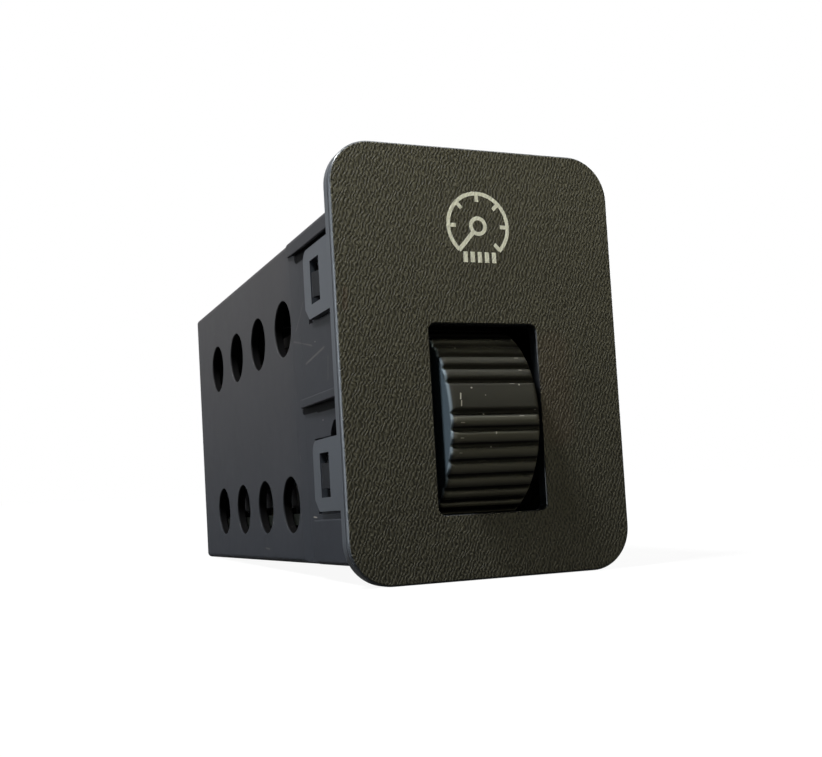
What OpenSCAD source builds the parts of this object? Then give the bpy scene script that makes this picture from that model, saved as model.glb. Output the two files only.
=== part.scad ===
// Dash light dimmer switch: a ribbed thumbwheel in a flat moulded bezel, in front of a vented housing.
// Origin: centre of the bezel's back face, where it seats on the panel. The viewer looks along +Y.
// The bezel's face looks to -Y, the housing reaches back to +Y, and +Z is up.

/* [Bezel] */
// Thickness of the bezel plate
plate_t = 2.0; // [1.6:0.1:3]
// Radius of the plate's four corners
plate_corner_r = 5.5; // [3:0.1:8]
// Rounding of the plate's front edge
plate_edge_r = 0.3; // [0.1:0.05:0.5]
// Width of the front bead that stands before the rim groove
rim_bead_w = 0.55; // [0.5:0.05:0.8]
// Width and depth of the groove that runs round the rim
rim_groove = 0.15; // [0.1:0.05:0.25]
// How far the plate reaches past the housing on each side
side_overhang = 2.2; // [1.5:0.05:5]
// How far the plate reaches past the top of the housing
top_overhang = 6.6; // [3:0.1:12]
// How far the plate reaches past the bottom of the housing
bottom_overhang = 2.5; // [1.5:0.1:6]
// Width of the wheel window
window_w = 15; // [11:0.1:20]
// Radius of the window's corners
window_corner_r = 0.9; // [0.4:0.1:2]
// Rounding of the window's front edge
window_edge_r = 0.2; // [0.1:0.05:0.3]
// Free height between the wheel and each end of the window, at the plate's back
window_end_gap = 2.2; // [1:0.1:4]
// Depth of the rebate in the plate's back that takes the housing's front edge
seat_depth = 0.3; // [0.2:0.05:0.6]
// Length of the locating skirt behind the plate
skirt_l = 5; // [3:0.1:8]
// Wall of the skirt
skirt_t = 1.2; // [0.8:0.1:2]

/* [Snap loops] */
// Height of a snap loop
loop_h = 9.4; // [8:0.1:12]
// Reach of a snap loop behind the plate
loop_l = 15.5; // [14:0.1:17]
// Thickness of a snap loop
loop_t = 0.9; // [0.7:0.05:1.2]
// How far a loop's face stands out from the housing's side
loop_proud = 0.1; // [0:0.05:0.4]
// Height of the window in a loop
loop_window_h = 5.8; // [5:0.1:7]
// Length of the window in a loop
loop_window_l = 3.5; // [3:0.1:4.5]
// Width of the bar that closes a loop at its rear end
loop_bar = 2.75; // [2:0.05:4]
// Size of the cut at a loop's two rear corners
loop_corner = 1.6; // [1:0.1:2.2]
// Distance of the upper loops' centre below the housing's top
loop_top_gap = 7.75; // [6:0.05:10]
// Distance of the lower loops' centre above the housing's bottom
loop_bottom_gap = 11.65; // [8:0.05:14]

/* [Housing] */
// Room for the electronics and the socket behind the wheel's carrier
rear_room = 51.2; // [51:0.1:80]
// Wall of the housing
wall = 1.3; // [1:0.1:1.6]
// Rounding of the housing's long edges
housing_edge_r = 0.8; // [0.4:0.1:1.2]
// Room beside the wheel window for the wheel's bearing and its control
side_room = 9.8; // [9.8:0.1:14]
// Room above the wheel for the upper board
head_room = 14.5; // [13.5:0.1:20]
// Room below the wheel
foot_room = 4.4; // [3.5:0.1:8]
// Diameter of a vent
vent_d = 8.1; // [4:0.1:9]
// Distance from one vent to the next
vent_pitch = 13.2; // [12:0.1:16]
// Number of vents in a row
vent_count = 4; // [2:1:4]
// Distance of the first vent from the bezel
vent_y = 26.45; // [26:0.05:30]
// Distance of the upper row of vents below the housing's top
vent_top_gap = 11.5; // [8:0.1:14]
// Distance of the lower row of vents above the housing's bottom
vent_bottom_gap = 8.2; // [7:0.1:12]
// Where the sides begin to draw in towards the bezel
recess_y = 22; // [20:0.1:22.3]
// How far a side draws in over its first bend
recess_d = 0.3; // [0.2:0.05:0.6]
// How far it draws in further up to the bezel
recess_fall = 0.7; // [0.6:0.05:1.0]
// Length of the first bend
recess_ramp = 3; // [2:0.1:4]
// How far the three bars on a side stand out from it
bar_proud = 0.25; // [0.1:0.05:0.4]
// Height of the bar along the top edge
top_strip = 2.2; // [1.5:0.1:4]
// Length of the bar along the top edge
top_strip_l = 22.3; // [18:0.1:24]
// Height of the bar along the bottom edge
bottom_strip = 5.9; // [4:0.1:6.4]
// Length of the bar along the bottom edge
bottom_strip_l = 16; // [14:0.1:21]
// Thickness of the rib, the bar between the two loops
rib_t = 1.2; // [0.8:0.1:2]
// Length of the rib
rib_l = 17.5; // [14:0.1:21]
// Distance of the rib's centre below the bezel's centre
rib_drop = 2.8; // [2:0.1:4]
// Height of a barb
barb_h = 3.3; // [2.6:0.1:4.2]
// How far the upper and the lower barb sit below their loops' centres
barb_drop = [0.4, 0.1]; // [0:0.1:0.6]
// Width of the slots beside a barb's tongue
slot_w = 1.1; // [0.8:0.05:1.3]
// Reach of the notch over the lower loop, behind the bezel
notch_l = 10; // [8:0.1:12]
// Height of the notch above the lower loop
notch_h = 2.2; // [1.5:0.1:3]

/* [Thumbwheel] */
// Radius over the ribs
wheel_r = 13; // [11:0.1:16]
// How far the wheel stands out of the bezel's face
wheel_proud = 2.2; // [1.5:0.1:3.5]
// Gap between the wheel and each side of its window
wheel_side_gap = 1.3; // [0.6:0.05:1.6]
// Number of rib pitches round the wheel
rib_count = 40; // [28:2:48]
// Depth of the grooves between the ribs
rib_depth = 0.5; // [0.3:0.05:0.8]
// Width of the ribs' tops as a share of their pitch
rib_share = 0.66; // [0.5:0.02:0.8]
// Rounding of the ribs' two long edges
rib_edge_r = 0.28; // [0.15:0.01:0.3]
// Rounding of the wheel's two rims
wheel_edge_r = 0.8; // [0.3:0.05:0.9]
// Turn of the smooth index band above straight ahead, in degrees
index_turn = 11.25; // [0:0.25:30]
// Radius of the wheel's hub
hub_r = 4.2; // [3:0.1:6]
// Thickness of the wheel's rim
rim_t = 5; // [2:0.1:6]
// Depth of the hollows in the wheel's sides
wheel_hollow = 3.6; // [1:0.1:4.2]
// Radius of the axle
axle_r = 1.5; // [1:0.05:1.6]
// Radial running clearance of the axle in its bearings
bearing_gap = 0.05; // [0.02:0.01:0.1]

/* [Bearing and control] */
// Gap between the wheel and the arms of its carrier
arm_gap = 0.7; // [0.5:0.05:1]
// Thickness of the carrier's arms
arm_t = 1.5; // [1.2:0.1:1.8]
// Radius of the arms' ends round the axle
arm_end_r = 4.6; // [3.5:0.1:5]
// Length of the carrier's base
carrier_l = 6; // [5:0.1:7]
// Thickness of the control's case
control_t = 3.4; // [3.2:0.1:3.8]
// Side of the control's square case
control_w = 15.6; // [15:0.1:16]
// Wall of the control's case
control_wall = 0.8; // [0.6:0.1:1]
// Radius of the control's rotor
rotor_r = 6.3; // [6:0.1:6.4]
// Turn of the wheel each way, in degrees
wheel_turn = 140; // [120:1:145]

/* [Electronics] */
// Thickness of the two circuit boards
board_t = 1.6; // [1.2:0.1:1.8]
// Height of the main board's underside above the housing's floor
board_lift = 4.0; // [3.6:0.1:5]
// Thickness of the heat sink's plate
sink_t = 1.6; // [1.2:0.1:2]
// Length of the heat sink
sink_l = 31; // [26:0.1:31]
// Height of the heat sink
sink_h = 20; // [18:0.1:20.5]
// Length of the heat sink's fins
sink_fin_l = 6; // [4:0.1:6]
// Radius of the capacitor
capacitor_r = 5; // [3:0.1:5]
// Height of the capacitor
capacitor_h = 16; // [10:0.1:20]
// Radius of the choke
choke_r = 6; // [4:0.1:6]
// Height of the choke
choke_h = 10; // [7:0.1:14]
// Length of the upper board
upper_board_l = 23; // [20:0.1:24]
// Radius of the small capacitor on the upper board
timing_r = 2.5; // [1.5:0.1:3]
// Height of the small capacitor
timing_h = 7; // [5:0.1:8.5]

/* [Rear socket] */
// Width of the socket's shroud
shroud_w = 24; // [20:0.1:26]
// Height of the socket's shroud
shroud_h = 12; // [11:0.1:14]
// Length of the socket's shroud
shroud_l = 13.4; // [12:0.1:14]
// Wall of the shroud
shroud_wall = 1.1; // [0.9:0.1:1.4]
// Distance from one blade to the next
blade_pitch = 4.2; // [3:0.1:4.4]
// Width of a blade
blade_w = 6.3; // [2.8:0.1:6.3]
// Thickness of a blade
blade_t = 0.8; // [0.5:0.1:1]
// Length of a blade inside the shroud
blade_l = 6.9; // [5:0.1:7]

/* [Hidden] */
$fn = 64;

// Small distances
fit = 0.1;          // clearance of pieces that slide together
seat = 0.02;        // clearance of pieces that are fixed together
over = 1;           // how far a cut runs past the surface that it opens

// Wheel and housing in the panel's plane
wheel_w = window_w - 2 * wheel_side_gap;
wheel_y = wheel_r - wheel_proud - plate_t;
housing_w = window_w + 2 * side_room;
housing_h = foot_room + 2 * wheel_r + head_room;
plate_w = housing_w + 2 * side_overhang;
plate_h = housing_h + top_overhang + bottom_overhang;
housing_z0 = -plate_h / 2 + bottom_overhang;
housing_z1 = housing_z0 + housing_h;
floor_z = housing_z0 + wall;
ceiling_z = housing_z1 - wall;
wheel_z = housing_z0 + foot_room + wheel_r;
window_h = 2 * (sqrt(wheel_r * wheel_r - wheel_y * wheel_y) + window_end_gap);
inner_x = housing_w / 2 - wall;
mouth_x = inner_x - recess_d - recess_fall;
housing_y0 = -seat_depth;

// Snap loops, the pockets that they lie in, and their barbs
loop_z = [housing_z1 - loop_top_gap, housing_z0 + loop_bottom_gap];
loop_x1 = housing_w / 2 + loop_proud;
loop_x0 = loop_x1 - loop_t;
window_y1 = loop_l - loop_bar;
window_y0 = window_y1 - loop_window_l;
pocket_x = loop_x0 - fit;
pocket_gap = 0.3;
barb_z = loop_z - barb_drop;
rib_z = -rib_drop;
bar_end_r = 0.4 * rib_t;

// Wheel
rib_pitch = 360 / rib_count;
index_angle = 180 - index_turn;

// Carrier, behind and beside the wheel
arm_x0 = wheel_w / 2 + arm_gap;
arm_x1 = arm_x0 + arm_t;
carrier_y0 = wheel_y + wheel_r + 1.4;
carrier_y1 = carrier_y0 + carrier_l;
housing_d = carrier_y1 + rear_room;
carrier_web = 1.5;
wing_x = inner_x - 1;
upper_board_y0 = carrier_y0 - 3;
upper_board_z0 = wheel_z + wheel_r + board_t;
upper_board_z1 = upper_board_z0 + board_t;
peg_r = 1.5;

// Groove and clip near the axle's left end, and the flat for the rotor at its right end
axle_end = 0.9;
groove_d = 0.4;
groove_w = 0.5;
groove_x1 = -arm_x1 - fit;
groove_x0 = groove_x1 - groove_w;
clip_r = axle_r + 1.2;
flat_z = 0.7 * axle_r;

// Control on the right arm
control_x1 = arm_x1 + control_t;
control_x2 = control_x1 + control_wall;
rotor_gap = 0.3;
rotor_t = 1.4;
rotor_x0 = arm_x1 + control_wall + rotor_gap;
rotor_x1 = rotor_x0 + rotor_t;
cavity_r = rotor_r + 0.8;
case_corner_r = 1.2;
lug_half = 8;
lug_h = 0.6;
track_r = 5;
track_w = 1.6;
track_t = 0.15;
wiper_t = 0.2;
tag_t = 0.4;
tag_w = 1.2;
tag_step = 2.5;
wing_z0 = wheel_z + 2 * tag_step;

// Main board
board_z0 = floor_z + board_lift;
board_z1 = board_z0 + board_t;
board_y0 = carrier_y0 - 0.4;
board_y1 = housing_d - wall - 0.5;
board_x = inner_x - 2 * fit;
rail_d = 0.9;
rail_t = 0.8;

// Heat sink and power transistor
sink_x0 = -inner_x + 1.0;
sink_x1 = sink_x0 + sink_t;
sink_y0 = carrier_y1 + 1.8;
sink_z0 = board_z1 + 1.3;
sink_fin_t = 1.2;
sink_fin_step = 3.2;
transistor_w = 10;
transistor_y = sink_y0 + sink_l / 2;
tab_z0 = sink_z0 + 1.2;
tab_h = 15.5;
tab_t = 1.3;
body_h = 9;
body_t = 3.1;
leg_t = 0.5;
leg_step = 2.54;
screw_r = 1.5;
screw_head_r = 2.8;
screw_head_h = 2;
screw_slot = 0.8;
screw_z = tab_z0 + tab_h - 3;

// Filter parts on the main board
flange_t = 1.4;
film_l = 11;
film_t = 5;
film_h = 9.5;
resistor_l = 17;
resistor_w = 6.4;
lead_t = 0.8;
lead_reach = 1.4;

// Upper board's parts
chip_w = 6.4;
chip_l = 9.6;
chip_h = 3.3;
chip_lift = 0.5;
chip_leg_x = 3.9;
chip_leg_t = 0.3;
diode_r = 1.3;
diode_l = 5;
diode_reach = 2.2;

// Rear cover, socket and blades
cover_y0 = housing_d - wall;
shroud_y0 = housing_d - shroud_l;
shroud_floor = 1.9;
shroud_z0 = board_z1 + fit;
shroud_z = shroud_z0 + shroud_h / 2;
blade_y1 = shroud_y0 + shroud_floor + blade_l;
blade_y0 = shroud_y0 - 3.4;
blade_tail = 1.6;
blade_count = 5;
blade_chamfer = 1;
cover_tab_l = 3;
cover_tab_t = 1.5;

// Colours
plastic_black = [0.16, 0.15, 0.14];
plastic_grey = [0.25, 0.25, 0.27];
brass = [0.78, 0.66, 0.38];
steel = [0.66, 0.67, 0.68];
phenolic = [0.50, 0.36, 0.22];

// Lays a drawing of the (y, z) plane across the part and gives it a thickness from x0 to x1
module along_x(x0, x1) {
    translate([x0, 0, 0])
        rotate([90, 0, 90])
            linear_extrude(height = x1 - x0)
                children();
}

// Lays a drawing of the (x, z) plane across the part and gives it a depth from y0 to y1
module along_y(y0, y1) {
    translate([0, y1, 0])
        rotate([90, 0, 0])
            linear_extrude(height = y1 - y0)
                children();
}

// Gives a drawing of the (x, y) plane a height from z0 to z1
module along_z(z0, z1) {
    translate([0, 0, z0])
        linear_extrude(height = z1 - z0)
            children();
}

// A block between two opposite corners
module block(low, high) {
    translate(low)
        cube(high - low);
}

// A pair of like shapes, one on each side
module both_sides() {
    children();
    mirror([1, 0, 0])
        children();
}

// A disc on the wheel's axis, from x0 to x1
module disc(x0, x1, r) {
    translate([x0, wheel_y, wheel_z])
        rotate([0, 90, 0])
            cylinder(h = x1 - x0, r = r);
}

// Flat rectangle with round corners between two corners
module rounded_rect(low, high, r) {
    translate([low[0] + r, low[1]])
        square([high[0] - low[0] - 2 * r, high[1] - low[1]]);
    translate([low[0], low[1] + r])
        square([high[0] - low[0], high[1] - low[1] - 2 * r]);
    for (x = [low[0] + r, high[0] - r], y = [low[1] + r, high[1] - r])
        translate([x, y])
            circle(r = r);
}

// Section through the plate's rim: the reach from a corner's centre across, the thickness up
module rim_section() {
    groove_y1 = plate_t - rim_bead_w;
    difference() {
        union() {
            square([plate_corner_r - plate_edge_r, plate_t]);
            square([plate_corner_r, plate_t - plate_edge_r]);
            translate([plate_corner_r - plate_edge_r, plate_t - plate_edge_r])
                circle(r = plate_edge_r);
        }
        translate([plate_corner_r - rim_groove, groove_y1 - rim_groove])
            square([rim_groove + over, rim_groove]);
    }
}

// A quarter of the plate's rim: one straight side and the round corner that follows it
module rim_side(half_length, reach) {
    translate([-half_length, reach, 0])
        rotate([90, 0, 90])
            linear_extrude(height = 2 * half_length)
                rim_section();
    translate([half_length, reach, 0])
        rotate_extrude(angle = 90)
            rim_section();
}

// Plate with its beaded rim, from the back face at y = 0 to the front
module plate_blank() {
    cx = plate_w / 2 - plate_corner_r;
    cz = plate_h / 2 - plate_corner_r;
    rotate([90, 0, 0]) {
        translate([-cx, -cz, 0])
            cube([2 * cx, 2 * cz, plate_t]);
        rim_side(cx, cz);
        rotate([0, 0, 180])
            rim_side(cx, cz);
        rotate([0, 0, 90])
            rim_side(cz, cx);
        rotate([0, 0, -90])
            rim_side(cz, cx);
    }
}

// Outline of one snap loop in the (y, z) plane: lower rear corner cut off, upper rear corner rounded
module loop_outline() {
    h = loop_h / 2;
    c = loop_corner;
    difference() {
        union() {
            polygon([
                [housing_y0 - fit, -h], [loop_l - c, -h], [loop_l, -h + c], [loop_l, h - c],
                [loop_l - 0.4 * c, h - 0.4 * c], [loop_l - 1.4 * c, h], [housing_y0 - fit, h]
            ]);
            translate([loop_l - c, h - c])
                circle(r = c);
        }
        translate([window_y0, -loop_window_h / 2])
            square([loop_window_l, loop_window_h]);
    }
}

// Bezel: plate, window, skirt and the four snap loops, one moulding
module bezel() {
    color(plastic_black)
        difference() {
            union() {
                difference() {
                    plate_blank();
                    seat_rebate();
                }
                both_sides()
                    for (z = loop_z)
                        translate([0, 0, z])
                            along_x(loop_x0, loop_x1)
                                loop_outline();
                skirt();
            }
            window_cut();
        }
}

// What the housing's front edge takes out of the plate's back
module seat_rebate() {
    x = housing_w / 2 + bar_proud + fit;
    along_y(housing_y0, over)
        rounded_rect([-x, housing_z0 - fit], [x, housing_z1 + fit], housing_edge_r);
}

// Section of the window's cut at one side: its straight wall and the flare of its rounded front edge
module window_section() {
    r = window_corner_r;
    e = window_edge_r;
    square([r, plate_t + 2 * over]);
    difference() {
        translate([0, over + plate_t - e])
            square([r + e, e + over]);
        translate([r + e, over + plate_t - e])
            circle(r = e);
    }
}

// A quarter of the window's cut: one straight side and the round corner that follows it
module window_side(half_length, reach) {
    translate([-half_length, reach, 0])
        rotate([90, 0, 90])
            linear_extrude(height = 2 * half_length)
                window_section();
    translate([half_length, reach, 0])
        rotate_extrude(angle = 90)
            window_section();
}

// What is cut from the plate for the wheel, from behind its back to before its face
module window_cut() {
    cx = window_w / 2 - window_corner_r;
    cz = window_h / 2 - window_corner_r;
    translate([0, over, wheel_z])
        rotate([90, 0, 0]) {
            translate([-cx, -cz, 0])
                cube([2 * cx, 2 * cz, plate_t + 2 * over]);
            window_side(cx, cz);
            rotate([0, 0, 180])
                window_side(cx, cz);
            rotate([0, 0, 90])
                window_side(cz, cx);
            rotate([0, 0, -90])
                window_side(cz, cx);
        }
}

// Skirt that centres the bezel in the housing's mouth
module skirt() {
    x = mouth_x - 2 * fit;
    z0 = floor_z + 2 * fit;
    z1 = ceiling_z - 2 * fit;
    difference() {
        block([-x, housing_y0 - fit, z0], [x, skirt_l, z1]);
        block([-x + skirt_t, -over, z0 + skirt_t], [x - skirt_t, skirt_l + over, z1 - skirt_t]);
    }
}

// Line of the housing's side, from the bezel back to where it no longer draws in, moved in by an inset
function side_line(inset) = [
    [housing_w / 2 - recess_d - recess_fall - inset, housing_y0 - over],
    [housing_w / 2 - recess_d - recess_fall - inset, 0],
    [housing_w / 2 - recess_d - inset, recess_y - recess_ramp],
    [housing_w / 2 - inset, recess_y]
];

// Plan of the cavity, which follows the side at a wall's distance
module cavity_plan() {
    right = concat(side_line(wall), [[inner_x, housing_d + over]]);
    left = [for (i = [len(right) - 1 : -1 : 0]) [-right[i][0], right[i][1]]];
    polygon(concat(right, left));
}

// Plan of what lies outside the right side where it draws in
module recess_plan() {
    x = housing_w / 2 + over;
    polygon(concat(side_line(0), [[x, recess_y], [x, housing_y0 - over]]));
}

// Side view of a bar from the bezel back to its round end, between two heights
module bar_outline(z0, z1, length) {
    rounded_rect([-over, z0], [length, z1], bar_end_r);
}

// Cross-section of the housing's outside, with a given half-width
module sleeve_section(x) {
    rounded_rect([-x, housing_z0], [x, housing_z1], housing_edge_r);
}

// Three bars on each side: along the top edge, between the loops and along the bottom edge
module bars() {
    x = housing_w / 2 + bar_proud;
    intersection() {
        along_y(housing_y0, recess_y + over)
            sleeve_section(x);
        both_sides()
            along_x(mouth_x, x + over) {
                bar_outline(housing_z1 - top_strip, housing_z1 + over, top_strip_l);
                bar_outline(rib_z - rib_t / 2, rib_z + rib_t / 2, rib_l);
                bar_outline(housing_z0 - over, housing_z0 + bottom_strip, bottom_strip_l);
            }
    }
}

// Reach of the drawn-in side at a distance behind the bezel
function recess_x(y) = housing_w / 2 - recess_d - recess_fall * (1 - y / (recess_y - recess_ramp));

// Ramped tooth on the pocket's floor that a loop's rear bar snaps behind
module barb(z) {
    y0 = window_y0 + 0.2;
    y1 = window_y1 - 0.25;
    along_z(z - barb_h / 2, z + barb_h / 2)
        polygon([
            [recess_x(y0) - wall / 2, y0], [min(pocket_x, recess_x(y0)), y0], [housing_w / 2, y1 - 0.6],
            [housing_w / 2, y1], [recess_x(y1) - wall / 2, y1]
        ]);
}

// Ledges that hold the main board by its right edge, between the vents
module board_rails() {
    half = (vent_pitch - vent_d) / 2 - 0.9;
    for (k = [0 : vent_count - 1]) {
        y = vent_y + (k + 0.5) * vent_pitch;
        for (z = [board_z0 - rail_t - fit, board_z1 + fit])
            block([inner_x - rail_d, y - half, z], [inner_x + wall / 2, y + half, z + rail_t]);
    }
}

// Vented sleeve that draws in towards the bezel, with bars, pockets for the loops, barbs and rails
module housing() {
    color(plastic_grey) {
        difference() {
            union() {
                difference() {
                    along_y(housing_y0, housing_d)
                        sleeve_section(housing_w / 2);
                    both_sides()
                        along_z(housing_z0 - over, housing_z1 + over)
                            recess_plan();
                }
                bars();
            }
            along_z(floor_z, ceiling_z)
                cavity_plan();
            both_sides()
                side_cuts();
        }
        both_sides() {
            for (z = barb_z)
                barb(z);
            board_rails();
        }
    }
}

// What is cut from the housing's right side: the loops' pockets, vents, tongue slots and the notch
module side_cuts() {
    x = housing_w / 2 + over;
    y0 = housing_y0 - over;
    notch_z = loop_z[1] + loop_h / 2;
    for (z = loop_z)
        block(
            [pocket_x, y0, z - loop_h / 2 - pocket_gap],
            [x, loop_l + pocket_gap, z + loop_h / 2 + pocket_gap]
        );
    for (k = [0 : vent_count - 1], z = [housing_z1 - vent_top_gap, housing_z0 + vent_bottom_gap])
        translate([inner_x - over, vent_y + k * vent_pitch, z])
            rotate([0, 90, 0])
                cylinder(h = wall + 2 * over, r = vent_d / 2);
    for (z = barb_z, s = [-1, 1])
        translate([0, 0, z + s * (barb_h + slot_w) / 2])
            block([mouth_x - over, y0, -slot_w / 2], [x, window_y1, slot_w / 2]);
    along_x(mouth_x - over, x)
        polygon([
            [y0, notch_z - over], [notch_l, notch_z - over], [notch_l, notch_z + 0.3 * notch_h],
            [notch_l - 0.2 * notch_h, notch_z + 0.6 * notch_h], [notch_l - 0.6 * notch_h, notch_z + notch_h],
            [y0, notch_z + notch_h]
        ]);
}

// Rear wall with the shroud of the socket and two tabs inside the sleeve, one moulding
module rear_cover() {
    x = inner_x - fit;
    color(plastic_grey)
        difference() {
            union() {
                block([-x, cover_y0, floor_z + fit], [x, housing_d, ceiling_z - fit]);
                block([-shroud_w / 2, shroud_y0, shroud_z0], [shroud_w / 2, housing_d, shroud_z0 + shroud_h]);
                both_sides()
                    block(
                        [x - 2 * cover_tab_t, cover_y0 - cover_tab_l, board_z1 + 2],
                        [x - cover_tab_t, cover_y0, ceiling_z - 4]
                    );
            }
            block(
                [-shroud_w / 2 + shroud_wall, shroud_y0 + shroud_floor, shroud_z0 + shroud_wall],
                [shroud_w / 2 - shroud_wall, housing_d + over, shroud_z0 + shroud_h - shroud_wall]
            );
            for (k = [0 : blade_count - 1])
                block(
                    [blade_x(k) - blade_t / 2 - seat, shroud_y0 - over, shroud_z - blade_w / 2 - seat],
                    [blade_x(k) + blade_t / 2 + seat, blade_y1, shroud_z + blade_w / 2 + seat]
                );
        }
}

// Place of blade k across the socket
function blade_x(k) = (k - (blade_count - 1) / 2) * blade_pitch;

// Blade with a tapered tip and a tail that stands on the main board
module blade(k) {
    z0 = shroud_z - blade_w / 2;
    z1 = shroud_z + blade_w / 2;
    c = blade_chamfer;
    color(brass)
        along_x(blade_x(k) - blade_t / 2, blade_x(k) + blade_t / 2)
            polygon([
                [blade_y0, board_z1], [blade_y0 + blade_tail, board_z1],
                [blade_y0 + blade_tail, z0], [blade_y1 - c, z0],
                [blade_y1, z0 + c], [blade_y1, z1 - c], [blade_y1 - c, z1], [blade_y0, z1]
            ]);
}

// Outline of one rib about the wheel's axis: a top on the wheel's radius, round edges, sloped flanks
module rib(half) {
    core_r = wheel_r - rib_depth;
    edge_c = wheel_r - rib_edge_r;
    inner = half - asin(rib_edge_r / edge_c);
    foot = half + asin(rib_depth * 0.45 / core_r);
    deep = core_r - rib_depth;
    polygon([
        [deep * cos(foot), -deep * sin(foot)], [core_r * cos(foot), -core_r * sin(foot)],
        [edge_c * cos(half), -edge_c * sin(half)], [edge_c * cos(half), edge_c * sin(half)],
        [core_r * cos(foot), core_r * sin(foot)], [deep * cos(foot), deep * sin(foot)]
    ]);
    for (s = [-1, 1])
        translate([edge_c * cos(inner), s * edge_c * sin(inner)])
            circle(r = rib_edge_r);
    intersection() {
        circle(r = wheel_r);
        polygon([
            [0, 0], [2 * wheel_r * cos(inner), -2 * wheel_r * sin(inner)],
            [2 * wheel_r * cos(inner), 2 * wheel_r * sin(inner)]
        ]);
    }
}

// Outline of the wheel: ribs on a core, and one smooth index band two pitches wide
module wheel_outline() {
    half = rib_share * rib_pitch / 2;
    circle(r = wheel_r - rib_depth);
    for (k = [1 : rib_count - 2])
        rotate(index_angle + (k + 0.5) * rib_pitch)
            rib(half);
    rotate(index_angle)
        rib(half + rib_pitch / 2);
}

// Section of the wheel's envelope: the reach from the axis across, the width up
module wheel_section() {
    difference() {
        union() {
            square([wheel_r - wheel_edge_r, wheel_w]);
            translate([0, wheel_edge_r])
                square([wheel_r + over, wheel_w - 2 * wheel_edge_r]);
            for (y = [wheel_edge_r, wheel_w - wheel_edge_r])
                translate([wheel_r - wheel_edge_r, y])
                    circle(r = wheel_edge_r);
        }
        square([axle_r + seat, wheel_w]);
        for (y = [-over, wheel_w - wheel_hollow])
            translate([hub_r, y])
                square([wheel_r - rim_t - hub_r, wheel_hollow + over]);
    }
}

// Ribbed wheel with rounded rims, a hub and hollow sides
module thumbwheel() {
    color(plastic_black)
        intersection() {
            translate([0, wheel_y, wheel_z])
                along_x(-wheel_w / 2, wheel_w / 2)
                    wheel_outline();
            translate([-wheel_w / 2, wheel_y, wheel_z])
                rotate([0, 90, 0])
                    rotate_extrude()
                        wheel_section();
        }
}

// Axle with a groove for its clip on the left and a flat for the rotor on the right
module axle() {
    color(steel)
        difference() {
            disc(-arm_x1 - axle_end, rotor_x1, axle_r);
            difference() {
                disc(groove_x0, groove_x1, axle_r + over);
                disc(groove_x0 - over, groove_x1 + over, axle_r - groove_d);
            }
            translate([0, wheel_y, wheel_z])
                block(
                    [rotor_x0 - fit, -axle_r - over, flat_z],
                    [rotor_x1 + over, axle_r + over, axle_r + over]
                );
        }
}

// Open retaining clip in the axle's groove
module axle_clip() {
    color(steel)
        difference() {
            disc(groove_x0 + seat, groove_x1 - seat, clip_r);
            disc(groove_x0 - over, groove_x1 + over, axle_r - groove_d + seat);
            translate([0, wheel_y, wheel_z])
                block(
                    [groove_x0 - over, -0.6 * axle_r, 0],
                    [groove_x1 + over, 0.6 * axle_r, clip_r + over]
                );
        }
}

// Washer that gives the wheel its drag
module friction_washer() {
    color(steel)
        difference() {
            disc(-arm_x0, -wheel_w / 2 - fit, hub_r - 0.6);
            disc(-arm_x0 - over, -wheel_w / 2 + over, axle_r + fit);
        }
}

// Side view of the carrier's arms in the (y, z) plane
module arm_outline() {
    difference() {
        union() {
            translate([carrier_y0, board_z1])
                square([carrier_l, upper_board_z0 - board_z1]);
            polygon([
                [wheel_y, wheel_z - arm_end_r], [carrier_y0 + over, wheel_z - 1.4 * arm_end_r],
                [carrier_y0 + over, wheel_z + 1.4 * arm_end_r], [wheel_y, wheel_z + arm_end_r]
            ]);
            translate([wheel_y, wheel_z])
                circle(r = arm_end_r);
        }
        translate([wheel_y, wheel_z])
            circle(r = axle_r + bearing_gap);
    }
}

// Moulded fork that carries the axle and stands on the main board, with a shelf for the upper board
// and a wing on each side that closes the space over the control
module wheel_carrier() {
    base_x = control_x1 - 0.6;
    color(plastic_grey) {
        both_sides()
            along_x(arm_x0, arm_x1)
                arm_outline();
        block([-arm_x1, carrier_y0, board_z1], [arm_x1, carrier_y0 + carrier_web, upper_board_z0]);
        block([-wing_x, carrier_y0, wing_z0], [wing_x, carrier_y0 + carrier_web, upper_board_z0]);
        block([-arm_x1, carrier_y0, upper_board_z0 - carrier_web], [arm_x1, carrier_y1, upper_board_z0]);
        block([-base_x, carrier_y0, board_z1], [base_x, carrier_y1, board_z1 + 2]);
        both_sides()
            translate([arm_x1 + peg_r, carrier_y0 + carrier_l / 2, board_z0 - 0.5])
                cylinder(h = board_t + 1.5, r = peg_r);
    }
}

// Low and high corners of the control's square in the (y, z) plane
function control_low() = [wheel_y - control_w / 2, wheel_z - control_w / 2];
function control_high() = [wheel_y + control_w / 2, wheel_z + control_w / 2];

// A sector of the turn about the wheel's axis, centred on an angle from +Y towards +Z
module sector(angle, half, r) {
    rotate(angle)
        polygon([[0, 0], [r, -r * tan(half)], [r, r * tan(half)]]);
}

// Case of the rotary control, with a stop that the rotor's lug meets at each end of its turn
module control_case() {
    stop_half = 180 - wheel_turn - lug_half - 2;
    color(plastic_black) {
        difference() {
            along_x(arm_x1, control_x1)
                rounded_rect(control_low(), control_high(), case_corner_r);
            disc(arm_x1 + control_wall, control_x1 + over, cavity_r);
            disc(arm_x1 - over, control_x1, axle_r + 2 * fit);
        }
        translate([0, wheel_y, wheel_z])
            along_x(arm_x1 + control_wall, control_x1)
                intersection() {
                    difference() {
                        circle(r = cavity_r + 0.2);
                        circle(r = rotor_r + 0.2);
                    }
                    sector(-90, stop_half, 2 * cavity_r);
                }
    }
}

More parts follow.
